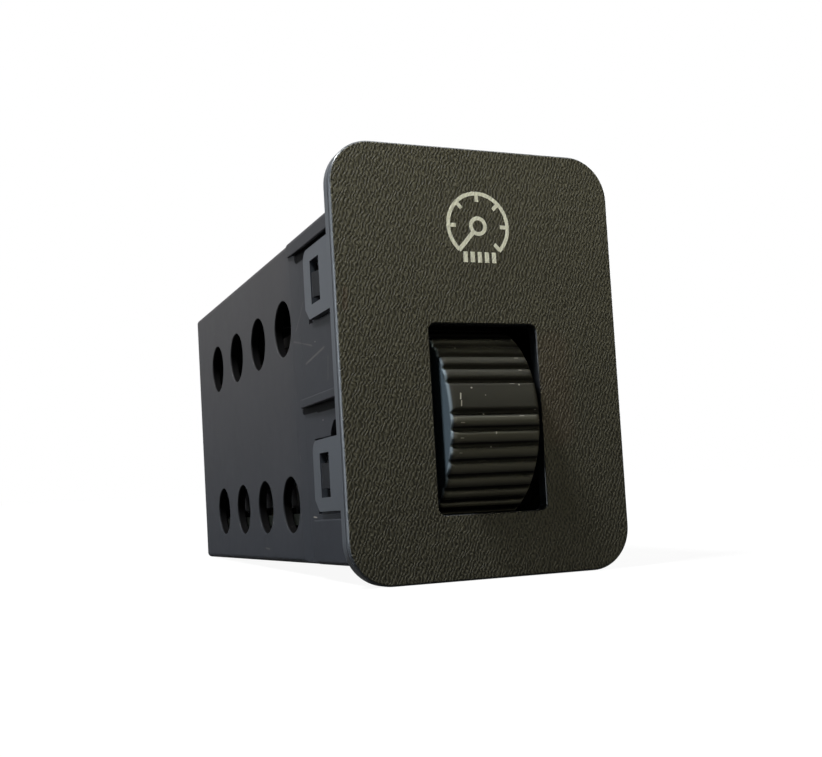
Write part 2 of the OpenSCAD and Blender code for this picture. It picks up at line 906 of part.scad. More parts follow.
// Rotor with a lug on its rim and a flatted bore
module control_rotor() {
    color([0.55, 0.52, 0.45])
        translate([0, wheel_y, wheel_z])
            along_x(rotor_x0, rotor_x1)
                difference() {
                    union() {
                        circle(r = rotor_r);
                        intersection() {
                            circle(r = rotor_r + lug_h);
                            sector(90, lug_half, 2 * cavity_r);
                        }
                    }
                    intersection() {
                        circle(r = axle_r + seat);
                        translate([-2 * axle_r, -2 * axle_r])
                            square([4 * axle_r, 2 * axle_r + flat_z + seat]);
                    }
                }
}

// Spring contact on the rotor's face
module control_wiper() {
    tip_x = control_x1 - track_t - 0.07;
    color(brass)
        translate([0, wheel_y, wheel_z]) {
            block([rotor_x1, -1.2, -2.5], [rotor_x1 + wiper_t, 1.2, track_r + 0.6]);
            translate([rotor_x1, 0, track_r])
                rotate([0, 90, 0])
                    cylinder(h = tip_x - rotor_x1, r = 0.5);
        }
}

// Resistive track, a ring that is open at the bottom
module control_track() {
    color([0.12, 0.12, 0.13])
        translate([0, wheel_y, wheel_z])
            along_x(control_x1 - track_t, control_x1)
                difference() {
                    circle(r = track_r + track_w / 2);
                    circle(r = track_r - track_w / 2);
                    sector(-90, 180 - wheel_turn - 4, 2 * cavity_r);
                }
}

// Board that closes the control's case and carries the track
module control_board() {
    color(phenolic)
        along_x(control_x1, control_x2)
            rounded_rect(control_low(), control_high(), case_corner_r);
}

// Tag k from the control's board back and down to the main board
module control_tag(k) {
    z = wheel_z + (k - 1) * tag_step;
    y = carrier_y0 + 1.2 + k * tag_step;
    color(brass)
        along_x(control_x2, control_x2 + tag_t) {
            translate([wheel_y + control_w / 2 - 2.2, z])
                square([y + tag_w - wheel_y - control_w / 2 + 2.2, tag_w]);
            translate([y, board_z1])
                square([tag_w, z + tag_w - board_z1]);
        }
}

// Main board, held in the housing's rails, with holes for the carrier's pegs
module circuit_board() {
    color([0.20, 0.34, 0.22])
        difference() {
            block([-board_x, board_y0, board_z0], [board_x, board_y1, board_z1]);
            both_sides()
                translate([arm_x1 + peg_r, carrier_y0 + carrier_l / 2, board_z0 - over])
                    cylinder(h = board_t + 2 * over, r = peg_r + fit);
        }
}

// Extruded heat sink: a plate behind the vents, with fins on both sides of the transistor
module heat_sink() {
    color([0.72, 0.73, 0.74])
        difference() {
            union() {
                block([sink_x0, sink_y0, sink_z0], [sink_x1, sink_y0 + sink_l, sink_z0 + sink_h]);
                for (k = [0 : 2], s = [-1, 1]) {
                    y = transistor_y + s * (sink_l / 2 - sink_fin_t / 2 - k * sink_fin_step);
                    block(
                        [sink_x1 - fit, y - sink_fin_t / 2, sink_z0],
                        [sink_x1 + sink_fin_l, y + sink_fin_t / 2, sink_z0 + sink_h]
                    );
                }
                for (s = [-1, 1])
                    translate([sink_x0 + sink_t / 2, transistor_y + s * (sink_l / 2 - 3), board_z1])
                        cylinder(h = sink_z0 - board_z1 + fit, r = 0.6);
            }
            translate([sink_x0 - over, transistor_y, screw_z])
                rotate([0, 90, 0])
                    cylinder(h = sink_t + 2 * over, r = screw_r + seat);
        }
}

// Moulded body of the power transistor, on its tab
module transistor_body() {
    color([0.10, 0.10, 0.11])
        block(
            [sink_x1 + tab_t, transistor_y - transistor_w / 2, tab_z0],
            [sink_x1 + tab_t + body_t, transistor_y + transistor_w / 2, tab_z0 + body_h]
        );
}

// Metal tab of the power transistor, flat on the heat sink
module transistor_tab() {
    color(steel)
        difference() {
            block(
                [sink_x1, transistor_y - transistor_w / 2, tab_z0],
                [sink_x1 + tab_t, transistor_y + transistor_w / 2, tab_z0 + tab_h]
            );
            translate([sink_x1 - over, transistor_y, screw_z])
                rotate([0, 90, 0])
                    cylinder(h = tab_t + 2 * over, r = screw_r + fit);
        }
}

// Leg k of the power transistor, from its body down to the main board
module transistor_leg(k) {
    x = sink_x1 + tab_t + 1.2;
    y = transistor_y + (k - 1) * leg_step;
    color(steel)
        block([x, y - leg_t / 2, board_z1], [x + leg_t, y + leg_t / 2, tab_z0]);
}

// Screw that holds the transistor to the heat sink
module transistor_screw() {
    head_x = sink_x1 + tab_t;
    slot_l = 1.4 * screw_head_r;
    color(steel)
        translate([0, transistor_y, screw_z])
            rotate([0, 90, 0])
                difference() {
                    union() {
                        translate([0, 0, sink_x0])
                            cylinder(h = head_x - sink_x0 + 0.2, r = screw_r);
                        translate([0, 0, head_x])
                            cylinder(h = screw_head_h, r = screw_head_r);
                    }
                    for (turn = [0, 90])
                        rotate(turn)
                            translate([-slot_l / 2, -screw_slot / 2, head_x + screw_head_h - screw_slot])
                                cube([slot_l, screw_slot, over]);
                }
}

// Radial capacitor with a crimped shoulder near its foot
module capacitor() {
    crimp = 0.35;
    color([0.10, 0.13, 0.24])
        translate([inner_x - capacitor_r - 6.2, sink_y0 + capacitor_r, board_z1])
            rotate_extrude()
                polygon([
                    [0, 0], [capacitor_r, 0], [capacitor_r, 1.2], [capacitor_r - crimp, 1.7],
                    [capacitor_r - crimp, 2.1], [capacitor_r, 2.6], [capacitor_r, capacitor_h - 0.4],
                    [capacitor_r - 0.4, capacitor_h], [capacitor_r - 0.9, capacitor_h],
                    [capacitor_r - 0.9, capacitor_h - 0.3], [0, capacitor_h - 0.3]
                ]);
}

// Place of the choke on the main board
function choke_place() = [inner_x - choke_r - 1.4, sink_y0 + 2 * capacitor_r + choke_r + 1, board_z1];

// Drum of the choke, on which its wire is wound
module choke_core() {
    color([0.18, 0.17, 0.17])
        translate(choke_place()) {
            cylinder(h = choke_h, r = choke_r / 2);
            cylinder(h = flange_t, r = choke_r);
            translate([0, 0, choke_h - flange_t])
                cylinder(h = flange_t, r = choke_r);
        }
}

// Wire wound on the choke's drum, drawn as its outer layer of turns
module choke_winding() {
    wire = 0.9;
    outer = choke_r - 0.3 - wire / 2;
    turns = floor((choke_h - 2 * flange_t - 2 * seat) / wire);
    color([0.70, 0.38, 0.20])
        translate(choke_place())
            rotate_extrude() {
                translate([choke_r / 2 + seat, flange_t + seat])
                    square([outer - choke_r / 2 - seat, turns * wire]);
                for (k = [0 : turns - 1])
                    translate([outer, flange_t + seat + (k + 0.5) * wire])
                        circle(r = wire / 2);
            }
}

// Box-shaped film capacitor
module film_capacitor() {
    x = choke_place()[0] + choke_r - film_l;
    y = choke_place()[1] + choke_r + 1.5;
    color([0.62, 0.40, 0.18])
        along_z(board_z1, board_z1 + film_h)
            rounded_rect([x, y], [x + film_l, y + film_t], 0.6);
}

// Place of the power resistor's front lower left corner, beside the heat sink's fins
function resistor_low() = [sink_x1 + sink_fin_l + 1, sink_y0 + 2 * capacitor_r, board_z1 + 0.8];

// Ceramic power resistor, held a little above the board by its leads
module power_resistor() {
    low = resistor_low();
    color([0.86, 0.85, 0.80])
        along_y(low[1], low[1] + resistor_l)
            rounded_rect([low[0], low[2]], [low[0] + resistor_w, low[2] + resistor_w], 0.5);
}

// Bent lead at the front end (0) or the rear end (1) of the power resistor
module resistor_lead(end) {
    low = resistor_low();
    y = low[1] + end * resistor_l - (1 - end) * lead_reach;
    y_leg = y + end * (lead_reach - lead_t);
    x = low[0] + (resistor_w - lead_t) / 2;
    z = low[2] + (resistor_w - lead_t) / 2;
    color(steel) {
        block([x, y, z], [x + lead_t, y + lead_reach, z + lead_t]);
        block([x, y_leg, board_z1], [x + lead_t, y_leg + lead_t, z + lead_t]);
    }
}

// Small phenolic board above the wheel that carries the control circuit
module upper_board() {
    x = inner_x - 1.5;
    color(phenolic)
        block([-x, upper_board_y0, upper_board_z0], [x, upper_board_y0 + upper_board_l, upper_board_z1]);
}

// Pin k that joins the upper board to the main board
module board_pin(k) {
    x = inner_x - 4.6 + k * 1.8;
    y = carrier_y1 + 8.5;
    color(brass)
        block([x, y, board_z1], [x + lead_t, y + lead_t, upper_board_z0]);
}

// Control circuit in a moulded body with a notch at one end and four bent legs on each side
module control_chip() {
    z0 = upper_board_z1 + chip_lift;
    y0 = upper_board_y0 + 4;
    color([0.10, 0.10, 0.11])
        difference() {
            block([-chip_w / 2, y0, z0], [chip_w / 2, y0 + chip_l, z0 + chip_h]);
            translate([0, y0, z0 + chip_h - 0.4])
                cylinder(h = over, r = 0.9);
        }
    color(steel)
        both_sides()
            for (k = [0 : 3])
                chip_leg(y0 + chip_l / 2 + (k - 1.5) * leg_step, z0 + 1.4);
}

// Bent leg of the chip: a wide shoulder at its height z and a narrow foot down to the board
module chip_leg(y, z) {
    t = chip_leg_t;
    block([chip_w / 2 - 2 * fit, y - 2 * t, z], [chip_leg_x, y + 2 * t, z + t]);
    block([chip_leg_x - t, y - t, upper_board_z1], [chip_leg_x, y + t, z + fit]);
}

// Small radial capacitor of the control circuit
module timing_capacitor() {
    color([0.10, 0.13, 0.24])
        translate([-9, upper_board_y0 + 8, upper_board_z1])
            rotate_extrude()
                polygon([
                    [0, 0], [timing_r, 0], [timing_r, timing_h - 0.4], [timing_r - 0.4, timing_h],
                    [timing_r - 0.8, timing_h], [timing_r - 0.8, timing_h - 0.3], [0, timing_h - 0.3]
                ]);
}

// Diode that lies along the upper board on its two bent leads
module diode() {
    z = upper_board_z1 + diode_r + 0.4;
    translate([8.5, upper_board_y0 + 5, z]) {
        color([0.12, 0.12, 0.13])
            rotate([-90, 0, 0])
                cylinder(h = diode_l, r = diode_r);
        color(steel)
            for (y = [-diode_reach, diode_l]) {
                y_leg = (y < 0) ? y : y + diode_reach - lead_t;
                translate([-lead_t / 2, y, -lead_t / 2])
                    cube([lead_t, diode_reach, lead_t]);
                translate([-lead_t / 2, y_leg, upper_board_z1 - z])
                    cube([lead_t, lead_t, z - upper_board_z1]);
            }
    }
}

bezel();
housing();
rear_cover();
thumbwheel();
axle();
axle_clip();
friction_washer();
wheel_carrier();
control_case();
control_rotor();
control_wiper();
control_track();
control_board();
control_tag(0);  // control_tag_1
control_tag(1);  // control_tag_2
control_tag(2);  // control_tag_3
circuit_board();
heat_sink();
transistor_body();
transistor_tab();
transistor_leg(0);  // transistor_leg_1
transistor_leg(1);  // transistor_leg_2
transistor_leg(2);  // transistor_leg_3
transistor_screw();
capacitor();
choke_core();
choke_winding();
film_capacitor();
power_resistor();
resistor_lead(0);  // resistor_lead_1
resistor_lead(1);  // resistor_lead_2
upper_board();
board_pin(0);  // board_pin_1
board_pin(1);  // board_pin_2
control_chip();
timing_capacitor();
diode();
blade(0);  // blade_1
blade(1);  // blade_2
blade(2);  // blade_3
blade(3);  // blade_4
blade(4);  // blade_5
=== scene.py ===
"""Looks of a dash light dimmer switch: finishes, the printed gauge symbol, studio and camera.

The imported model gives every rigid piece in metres: the bezel's back face is the plane y = 0, the viewer looks along
+y, and +z is up. Sizes in this script are millimetres unless a name says otherwise.
"""

import logging
import math
from dataclasses import dataclass
from enum import Enum

import bpy
import numpy as np
from mathutils import Matrix, Vector


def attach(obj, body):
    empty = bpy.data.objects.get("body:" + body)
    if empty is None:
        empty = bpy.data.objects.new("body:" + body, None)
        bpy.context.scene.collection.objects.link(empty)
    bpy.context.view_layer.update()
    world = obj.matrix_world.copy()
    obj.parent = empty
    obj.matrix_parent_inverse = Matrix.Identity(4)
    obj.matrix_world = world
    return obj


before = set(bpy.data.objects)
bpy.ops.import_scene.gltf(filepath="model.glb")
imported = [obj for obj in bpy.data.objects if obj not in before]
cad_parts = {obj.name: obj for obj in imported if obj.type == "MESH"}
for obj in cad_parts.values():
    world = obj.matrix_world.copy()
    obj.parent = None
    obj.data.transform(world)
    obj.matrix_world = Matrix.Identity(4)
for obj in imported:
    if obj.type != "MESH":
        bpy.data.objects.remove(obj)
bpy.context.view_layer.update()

LOG = logging.getLogger("dimmer")
MM = 0.001
PHOTO_W, PHOTO_H = 822, 757
SENSOR_MM = 36.0

Colour = tuple[float, float, float]
Point = tuple[float, float, float]
Pixel = tuple[float, float]
Pair = tuple[float, float]
Output = bpy.types.NodeSocket
Surface = tuple[np.ndarray, np.ndarray]  # vertices in millimetres, and faces of four
ORIGIN: Point = (0.0, 0.0, 0.0)


class Texture(Enum):
    """Surface texture of a moulded piece."""

    SMOOTH = "smooth"
    SPARKED = "sparked"


class Lay(Enum):
    """Direction in which a metal's drawing or rolling marks run."""

    ALONG_X = (0.15, 6.0, 6.0)
    ALONG_Y = (6.0, 0.15, 6.0)
    ALONG_Z = (6.0, 6.0, 0.15)


def shade(colour: Colour, factor: Colour | float) -> Colour:
    """A colour made darker or paler by one factor, or by one for each channel."""
    return tuple(np.multiply(colour, factor).tolist())


class Recipe:
    """Writes the node tree of one material, with patterns measured in millimetres of the part's own frame."""

    def __init__(self, name: str, world: bpy.types.World | None = None) -> None:
        """Starts an empty material, or the empty node tree of a world.

        Args:
            name: the material's name.
            world: the world to write into instead, where the position is the direction looked in.
        """
        self.material = world or bpy.data.materials.new(name)
        self.material.use_nodes = True
        self.tree = self.material.node_tree
        self.tree.nodes.clear()
        seen = self.node("TexCoord").outputs["Generated" if world else "Object"]
        self.where = self.node("VectorMath", {0: seen, "Scale": 1.0 if world else 1 / MM}, operation="SCALE").outputs[0]

    def node(self, kind: str, inputs: dict[int | str, object] | None = None, **settings: object) -> bpy.types.Node:
        """Adds a node.

        Args:
            kind: the node's type name, without the ShaderNode that all begin with.
            inputs: by name or number, an output to read, or a plain number, vector or colour.
            **settings: properties of the node to set.

        Returns:
            The new node.
        """
        made = self.tree.nodes.new("ShaderNode" + kind)
        for name, value in settings.items():
            setattr(made, name, value)
        for name, value in (inputs or {}).items():
            socket = made.inputs[name]
            if isinstance(value, Output):
                self.tree.links.new(value, socket)
            else:
                socket.default_value = (*value, 1.0) if socket.type == "RGBA" else value
        return made

    def place(self, scale: Point, turn: Point = ORIGIN) -> Output:
        """Position in millimetres, scaled along x, y and z and then turned about them by degrees."""
        inputs = {0: self.where, "Scale": scale, "Rotation": [math.radians(angle) for angle in turn]}
        return self.node("Mapping", inputs, vector_type="POINT").outputs[0]

    def noise(self, size: float, detail: float = 2.0, rough: float = 0.5, where: Output | None = None) -> Output:
        """Soft noise, about 0.5 on average.

        Args:
            size: width of one swell, in the position's units.
            detail: octaves.
            rough: share that each further octave keeps.
            where: position, if it isn't the plain one.

        Returns:
            The value output.
        """
        inputs = {"Vector": where or self.where, "Scale": 1 / size, "Detail": detail, "Roughness": rough}
        made = self.node("TexNoise", inputs)
        return made.outputs["Fac"]

    def cells(self, size: float) -> Output:
        """Distance from the nearest of many scattered points, one to a cell of this size."""
        return self.node("TexVoronoi", {"Vector": self.where, "Scale": 1 / size}).outputs["Distance"]

    def waves(self, where: Output, pitch: float, warp: float, size: float) -> Output:
        """Upright ridges side by side along x, which a noise bends until they branch and end.

        Args:
            where: position.
            pitch: distance from ridge to ridge.
            warp: how far they bend, in radians of their own period.
            size: width of one bend.

        Returns:
            The value output, a sine between 0 and 1.
        """
        made = self.node("TexWave", {"Vector": where, "Scale": math.pi / 10 / pitch, "Distortion": warp, "Detail": 0.5,
                                     "Detail Scale": 10 * pitch / math.pi / size},
                         wave_type="BANDS", bands_direction="X", wave_profile="SIN")
        return made.outputs["Fac"]

    def spread(self, value: object, low: float, high: float, first: float = 0.0, last: float = 1.0,
               smooth: bool = False) -> Output:
        """Maps a value's range onto another and clamps it.

        Args:
            value: what is mapped.
            low: value that gives first.
            high: value that gives last.
            first: result at low.
            last: result at high.
            smooth: eases both ends.

        Returns:
            The result output.
        """
        inputs = {"Value": value, "From Min": low, "From Max": high, "To Min": first, "To Max": last}
        made = self.node("MapRange", inputs, interpolation_type="SMOOTHSTEP" if smooth else "LINEAR")
        return made.outputs["Result"]

    def calc(self, kind: str, first: object, second: object = 0.0) -> Output:
        """One step with numbers: ADD, MULTIPLY, MAXIMUM and so on."""
        return self.node("Math", {0: first, 1: second}, operation=kind).outputs[0]

    def vector(self, kind: str, first: object, second: object) -> Output:
        """One step with vectors that gives a vector: SUBTRACT and so on."""
        return self.node("VectorMath", {0: first, 1: second}, operation=kind).outputs["Vector"]

    def length(self, first: object, second: object = ORIGIN, kind: str = "DISTANCE") -> Output:
        """One step with vectors that gives a number: the distance between them, or their DOT_PRODUCT."""
        return self.node("VectorMath", {0: first, 1: second}, operation=kind).outputs["Value"]

    def axis(self, letter: str) -> Output:
        """One coordinate of the position, in millimetres."""
        return self.node("SeparateXYZ", {0: self.where}).outputs[letter]

    def mix(self, share: object, first: object, second: object) -> Output:
        """Blend of two colours, all of the first at a share of 0. A Mix node's sockets 6, 7 and 2 are for colours."""
        return self.node("Mix", {0: share, 6: first, 7: second}, data_type="RGBA").outputs[2]

    def bump(self, height: Output, depth: float, strength: float = 1.0, under: Output | None = None) -> Output:
        """Relief from a height between 0 and 1.

        Args:
            height: the height.
            depth: relief in millimetres for a height of 1.
            strength: share of the relief that shows.
            under: normal of a coarser relief below this one.

        Returns:
            The normal output.
        """
        inputs = {"Height": height, "Distance": depth * MM, "Strength": strength}
        if under is not None:
            inputs["Normal"] = under
        return self.node("Bump", inputs).outputs[0]

    def softened(self, radius: float) -> Output:
        """Normal that rounds every sharp edge, with a radius in millimetres."""
        return self.node("Bevel", {"Radius": radius * MM}, samples=4).outputs["Normal"]

    def marks(self, marks: "tuple[Mark, ...]", full: float = 0.4) -> Output:
        """Mask of small marks, 1 along the middle line of any mark and falling to 0 at its rim.

        The distance from a line is found at its nearest point: the share of the way along it, kept between 0 and 1.

        Args:
            marks: the marks.
            full: share of a mark's half width that shows in full.

        Returns:
            The mask output.
        """
        point_like = 1e-9
        total: object = 0.0
        for mark in marks:
            way = Vector(mark.end) - Vector(mark.start)
            from_start = self.vector("SUBTRACT", self.where, mark.start)
            along = self.length(from_start, tuple(way / max(way.length_squared, point_like)), "DOT_PRODUCT")
            inputs = {0: way, "Scale": self.spread(along, 0.0, 1.0)}
            distance = self.length(from_start, self.node("VectorMath", inputs, operation="SCALE").outputs[0])
            inside = self.spread(distance, mark.radius, mark.radius * full, 0.0, mark.strength, smooth=True)
            total = self.calc("MAXIMUM", inside, total)
        return total

    def rays(self) -> tuple[Output, Output]:
        """Masks of the camera's own rays, and of reflected and refracted ones."""
        path = self.node("LightPath").outputs
        return path["Is Camera Ray"], self.calc("MAXIMUM", path["Is Glossy Ray"], path["Is Transmission Ray"])

    def surface(self, colour: object, roughness: object, normal: Output, **further: object) -> bpy.types.Material:
        """Closes the tree with a principled shader.

        Args:
            colour: base colour.
            roughness: roughness.
            normal: normal of the relief.
            **further: other shader inputs, by name with underscores for spaces.

        Returns:
            The finished material.
        """
        inputs = {"Base Color": colour, "Roughness": roughness, "Normal": normal}
        inputs |= {name.replace("_", " "): value for name, value in further.items()}
        self.close(self.node("BsdfPrincipled", inputs))
        return self.material

    def close(self, shader: bpy.types.Node, kind: str = "Material") -> None:
        """Joins the last shader to the tree's output, of kind Material or World."""
        self.node("Output" + kind, {"Surface": shader.outputs[0]})


@dataclass(frozen=True)
class Mark:
    """A small mark, such as a speck, scuff, streak, painted shadow and painted highlight: where it starts and ends, its
    half width and how strongly it shows.
    """

    start: Point
    end: Point
    radius: float
    strength: float = 1.0


@dataclass(frozen=True)
class Shell:
    """Painted shade on a sleeve: on the walls of its holes and pockets, and on its outer faces towards the bottom."""

    half_x: float
    z0: float
    z1: float
    y1: float
    drawn_in_y: float
    drawn_in: float
    # Depth of the outer skin that keeps the plain tone; deeper walls get painted shade.
    lit_skin: float = 0.12
    eased: float = 0.15
    step: float = 0.2
    fade: float = 4.0
    # Colour factor of the painted shade towards the bottom and over the drawn-in part: darker and bluer.
    falloff_tint: Colour = (0.20, 0.27, 0.40)
    # Tone factor of the painted shade on hole and pocket walls, and of the painted shadows under the bars.
    painted_shade_tone: float = 0.08

    def inner(self, recipe: Recipe) -> Output:
        """Mask of the painted shade on the walls of holes and pockets: the depth below the nearest outer face, more
        than the lit skin's reach, with the sides' drawn-in part counted as outer.

        Args:
            recipe: the tree to write into.

        Returns:
            The mask output.
        """
        up = recipe.axis("Z")
        from_side = recipe.calc("SUBTRACT", self.half_x, recipe.calc("ABSOLUTE", recipe.axis("X")))
        from_ends = recipe.calc("MINIMUM", recipe.calc("SUBTRACT", self.z1, up), recipe.calc("SUBTRACT", up, self.z0))
        from_rear = recipe.calc("SUBTRACT", self.y1, recipe.axis("Y"))
        depth = recipe.calc("MINIMUM", recipe.calc("MINIMUM", from_side, from_ends), from_rear)
        spared = recipe.spread(recipe.axis("Y"), self.drawn_in_y, self.drawn_in_y + self.step, self.drawn_in, 0.0)
        return recipe.spread(recipe.calc("SUBTRACT", depth, spared), self.lit_skin, self.lit_skin + self.eased)

    def painted_falloff(self, recipe: Recipe) -> Output:
        """Mask of the unshaded tone: painted shade takes over towards the bottom and by half over the drawn-in part."""
        back = recipe.spread(recipe.axis("Y"), self.drawn_in_y - self.fade, self.drawn_in_y + self.fade, 0.5, 1.0)
        return recipe.calc("MULTIPLY", recipe.spread(recipe.axis("Z"), self.z0, self.z1), back)


@dataclass(frozen=True)
class Ribs:
    """A ribbed wheel: painted shade in the grooves, painted light on the ribs below the index band, a painted highlight
    on the ribs' left ends, and paler, bluer painted light on the side faces.

    Angles are in radians about the axis, from straight back and positive upwards. A pair gives where a mask starts and
    where it is full.
    """

    axis_y: float
    axis_z: float
    groove_r: float
    crest_r: float
    half_width: float
    count: int
    band: float
    # Colour of the painted highlight on the ribs' left ends.
    end_highlight: Colour
    # Colour of the painted light on the side faces, paler and bluer.
    lit_skin: Colour
    rounding: float = 0.24
    off_band: Pair = (0.13, 0.15)
    below_band: Pair = (-1.4, -1.7)
    lip: float = 0.04
    bed: float = 0.12
    highlight_reach: Pair = (0.40, 0.12)
    side_skin: Pair = (0.09, 0.01)
    # Tone factor of the painted light on the ribs below the index band.
    paler_tone: float = 2.8
    # Tone factor of the painted shade in the grooves.
    groove_shade_tone: float = 0.5

    def crest(self, recipe: Recipe) -> Output:
        """Height of the rounded crests: the sine of count times the angle about the axis, flat on the index band.

        Args:
            recipe: the tree to write into.

        Returns:
            The height output, between 0 and 1.
        """
        wave = recipe.calc("SINE", recipe.calc("MULTIPLY", self.angle(recipe), float(self.count)))
        share = recipe.calc("SUBTRACT", 1.0, recipe.calc("MAXIMUM", self.smooth(recipe), self.side(recipe)))
        return recipe.calc("MULTIPLY", recipe.spread(wave, -1.0, 1.0), share)

    def angle(self, recipe: Recipe) -> Output:
        """Angle about the axis, by the arc tangent of height over depth."""
        return recipe.calc("ARCTAN2", recipe.calc("SUBTRACT", recipe.axis("Z"), self.axis_z),
                          recipe.calc("SUBTRACT", recipe.axis("Y"), self.axis_y))

    def smooth(self, recipe: Recipe) -> Output:
        """Mask of the index band, which has no ribs."""
        off = recipe.calc("ABSOLUTE", recipe.calc("SUBTRACT", self.angle(recipe), math.radians(self.band)))
        return recipe.spread(off, *self.off_band, 1.0, 0.0)

    def retoned(self, recipe: Recipe) -> Output:
        """Mask of the ribs just under the index band at rest, which are painted paler: painted light."""
        return recipe.spread(self.angle(recipe), *self.below_band, smooth=True)

    def deep(self, recipe: Recipe) -> Output:
        """Mask of the grooves, by the distance from the axis: 0 at the crests' radius and 1 at the grooves'."""
        radius = recipe.length(recipe.vector("MULTIPLY", recipe.where, (0, 1, 1)), (0, self.axis_y, self.axis_z))
        return recipe.spread(radius, self.crest_r - self.lip, self.groove_r + self.bed, smooth=True)

    def ends(self, recipe: Recipe) -> Output:
        """Mask of the ribs' left ends, which carry a painted highlight."""
        start, full = (reach - self.half_width for reach in self.highlight_reach)
        return recipe.spread(recipe.axis("X"), start, full, smooth=True)

    def side(self, recipe: Recipe) -> Output:
        """Mask of the wheel's two side faces."""
        start, full = (self.half_width - depth for depth in self.side_skin)
        return recipe.spread(recipe.calc("ABSOLUTE", recipe.axis("X")), start, full)

    def colour(self, recipe: Recipe, tone: object, plain: Colour, deep: object) -> Output:
        """Colours the wheel's parts over the plastic's own tone: painted light, shade and highlight.

        Args:
            recipe: the tree to write into.
            tone: the plastic's tone.
            plain: the plastic's colour.
            deep: mask of the grooves.

        Returns:
            The colour output.
        """
        # Painted light: the ribs below the index band paler.
        tone = recipe.mix(self.retoned(recipe), tone, shade(plain, self.paler_tone))
        # Painted shade in the grooves.
        tone = recipe.mix(deep, tone, shade(plain, self.groove_shade_tone))
        tone = recipe.mix(self.smooth(recipe), tone, plain)
        # Painted highlight on the ribs' left ends.
        tone = recipe.mix(self.ends(recipe), tone, self.end_highlight)
        # Painted light on the side faces, paler and bluer.
        return recipe.mix(self.side(recipe), tone, self.lit_skin)


@dataclass(frozen=True)
class Moulding:
    """Finish of a moulded plastic piece. Sizes and depths of its patterns are in millimetres."""

    name: str
    colour: Colour
    roughness: float
    texture: Texture = Texture.SMOOTH
    speckle: float = 0.25
    specular: float = 0.5
    dust: Colour = (0.30, 0.28, 0.25)
    marks: tuple[Mark, ...] = ()
    # Marks of painted shadow, which take the painted shade tone.
    retoned: tuple[Mark, ...] = ()
    shell: Shell | None = None
    ribs: Ribs | None = None
    edge: float = 0.15
    sink_size: float = 9.0
    sink_depth: float = 0.05
    pit_size: float = 0.16
    pit_depth: float = 0.022
    line_size: float = 0.35
    line_depth: float = 0.006
    cloud_size: float = 7.0
    fleck_size: float = 0.22
    grit_pitch: float = 1.7
    grit_r: float = 0.045
    patch_size: float = 4.0
    dirt_roughness: float = 0.85
    hollow_specular: float = 0.04

    def relief(self, recipe: Recipe) -> Output:
        """Texture of the mould: softened edges and broad sink marks, the rounding of any ribs, and over them either
        spark pits or polish lines.

        Args:
            recipe: the tree to write into.

        Returns:
            The normal output.
        """
        sinks = recipe.noise(self.sink_size, 1.0)
        broad = recipe.bump(sinks, self.sink_depth, 0.5, recipe.softened(self.edge))
        if self.ribs:
            broad = recipe.bump(self.ribs.crest(recipe), self.ribs.rounding, 1.0, broad)
        if self.texture is Texture.SPARKED:
            return recipe.bump(recipe.noise(self.pit_size, 3.0, 0.6), self.pit_depth, 0.55, broad)
        lines = recipe.noise(self.line_size, 3.0, 0.6, recipe.place((1.0, 2.0, 1.0)))
        return recipe.bump(lines, self.line_depth, 0.5, broad)

    def make(self) -> bpy.types.Material:
        """Builds the material.

        Returns:
            The material.
        """
        recipe = Recipe(self.name)
        cloud = recipe.spread(recipe.noise(self.cloud_size, 3.0), 0.3, 0.7)
        flecks = recipe.spread(recipe.noise(self.fleck_size, 2.0), 0.35, 0.7)
        darker = shade(self.colour, 1 - self.speckle)
        tone = recipe.mix(recipe.spread(cloud, 0.0, 1.0, 0.5, 1.05), darker, shade(self.colour, 1 + self.speckle))
        tone = recipe.mix(recipe.calc("MULTIPLY", flecks, 0.35), tone, darker)
        grit = recipe.spread(recipe.cells(self.grit_pitch), self.grit_r, 0.0, 0.0, 0.6)
        patches = recipe.spread(recipe.noise(self.patch_size), 0.52, 0.7)
        dirt_and_highlights = recipe.calc("MULTIPLY", grit, patches)
        if self.marks:
            dirt_and_highlights = recipe.calc("MAXIMUM", dirt_and_highlights, recipe.marks(self.marks))
        painted_shade: object = 0.0
        if self.ribs:
            off_side = recipe.calc("SUBTRACT", 1.0, self.ribs.side(recipe))
            deep = recipe.calc("MULTIPLY", self.ribs.deep(recipe), off_side)
            tone = self.ribs.colour(recipe, tone, self.colour, deep)
            # Lower gloss in the grooves, part of their painted shade.
            painted_shade = recipe.calc("MULTIPLY", deep, 0.5)
        if self.shell:
            # Painted shade: darker and bluer towards the bottom and over the drawn-in part.
            tone = recipe.mix(self.shell.painted_falloff(recipe), shade(self.colour, self.shell.falloff_tint), tone)
            # Painted shade on the walls of holes and pockets, and the painted shadows of the retoned marks.
            painted_shade = recipe.calc("MAXIMUM", self.shell.inner(recipe), recipe.marks(self.retoned, 0.75))
            tone = recipe.mix(painted_shade, tone, shade(self.colour, self.shell.painted_shade_tone))
        # Grit and marks, which on the wheel include painted highlights.
        tone = recipe.mix(dirt_and_highlights, tone, self.dust)
        rough = recipe.spread(cloud, 0.0, 1.0, self.roughness - 0.05, self.roughness + 0.05)
        rough = recipe.calc("MAXIMUM", rough, recipe.calc("MULTIPLY", dirt_and_highlights, self.dirt_roughness))
        # Painted shade also dims the gloss.
        return recipe.surface(tone, rough, self.relief(recipe),
                              Specular_IOR_Level=recipe.spread(painted_shade, 0.0, 1.0, self.specular, self.hollow_specular))


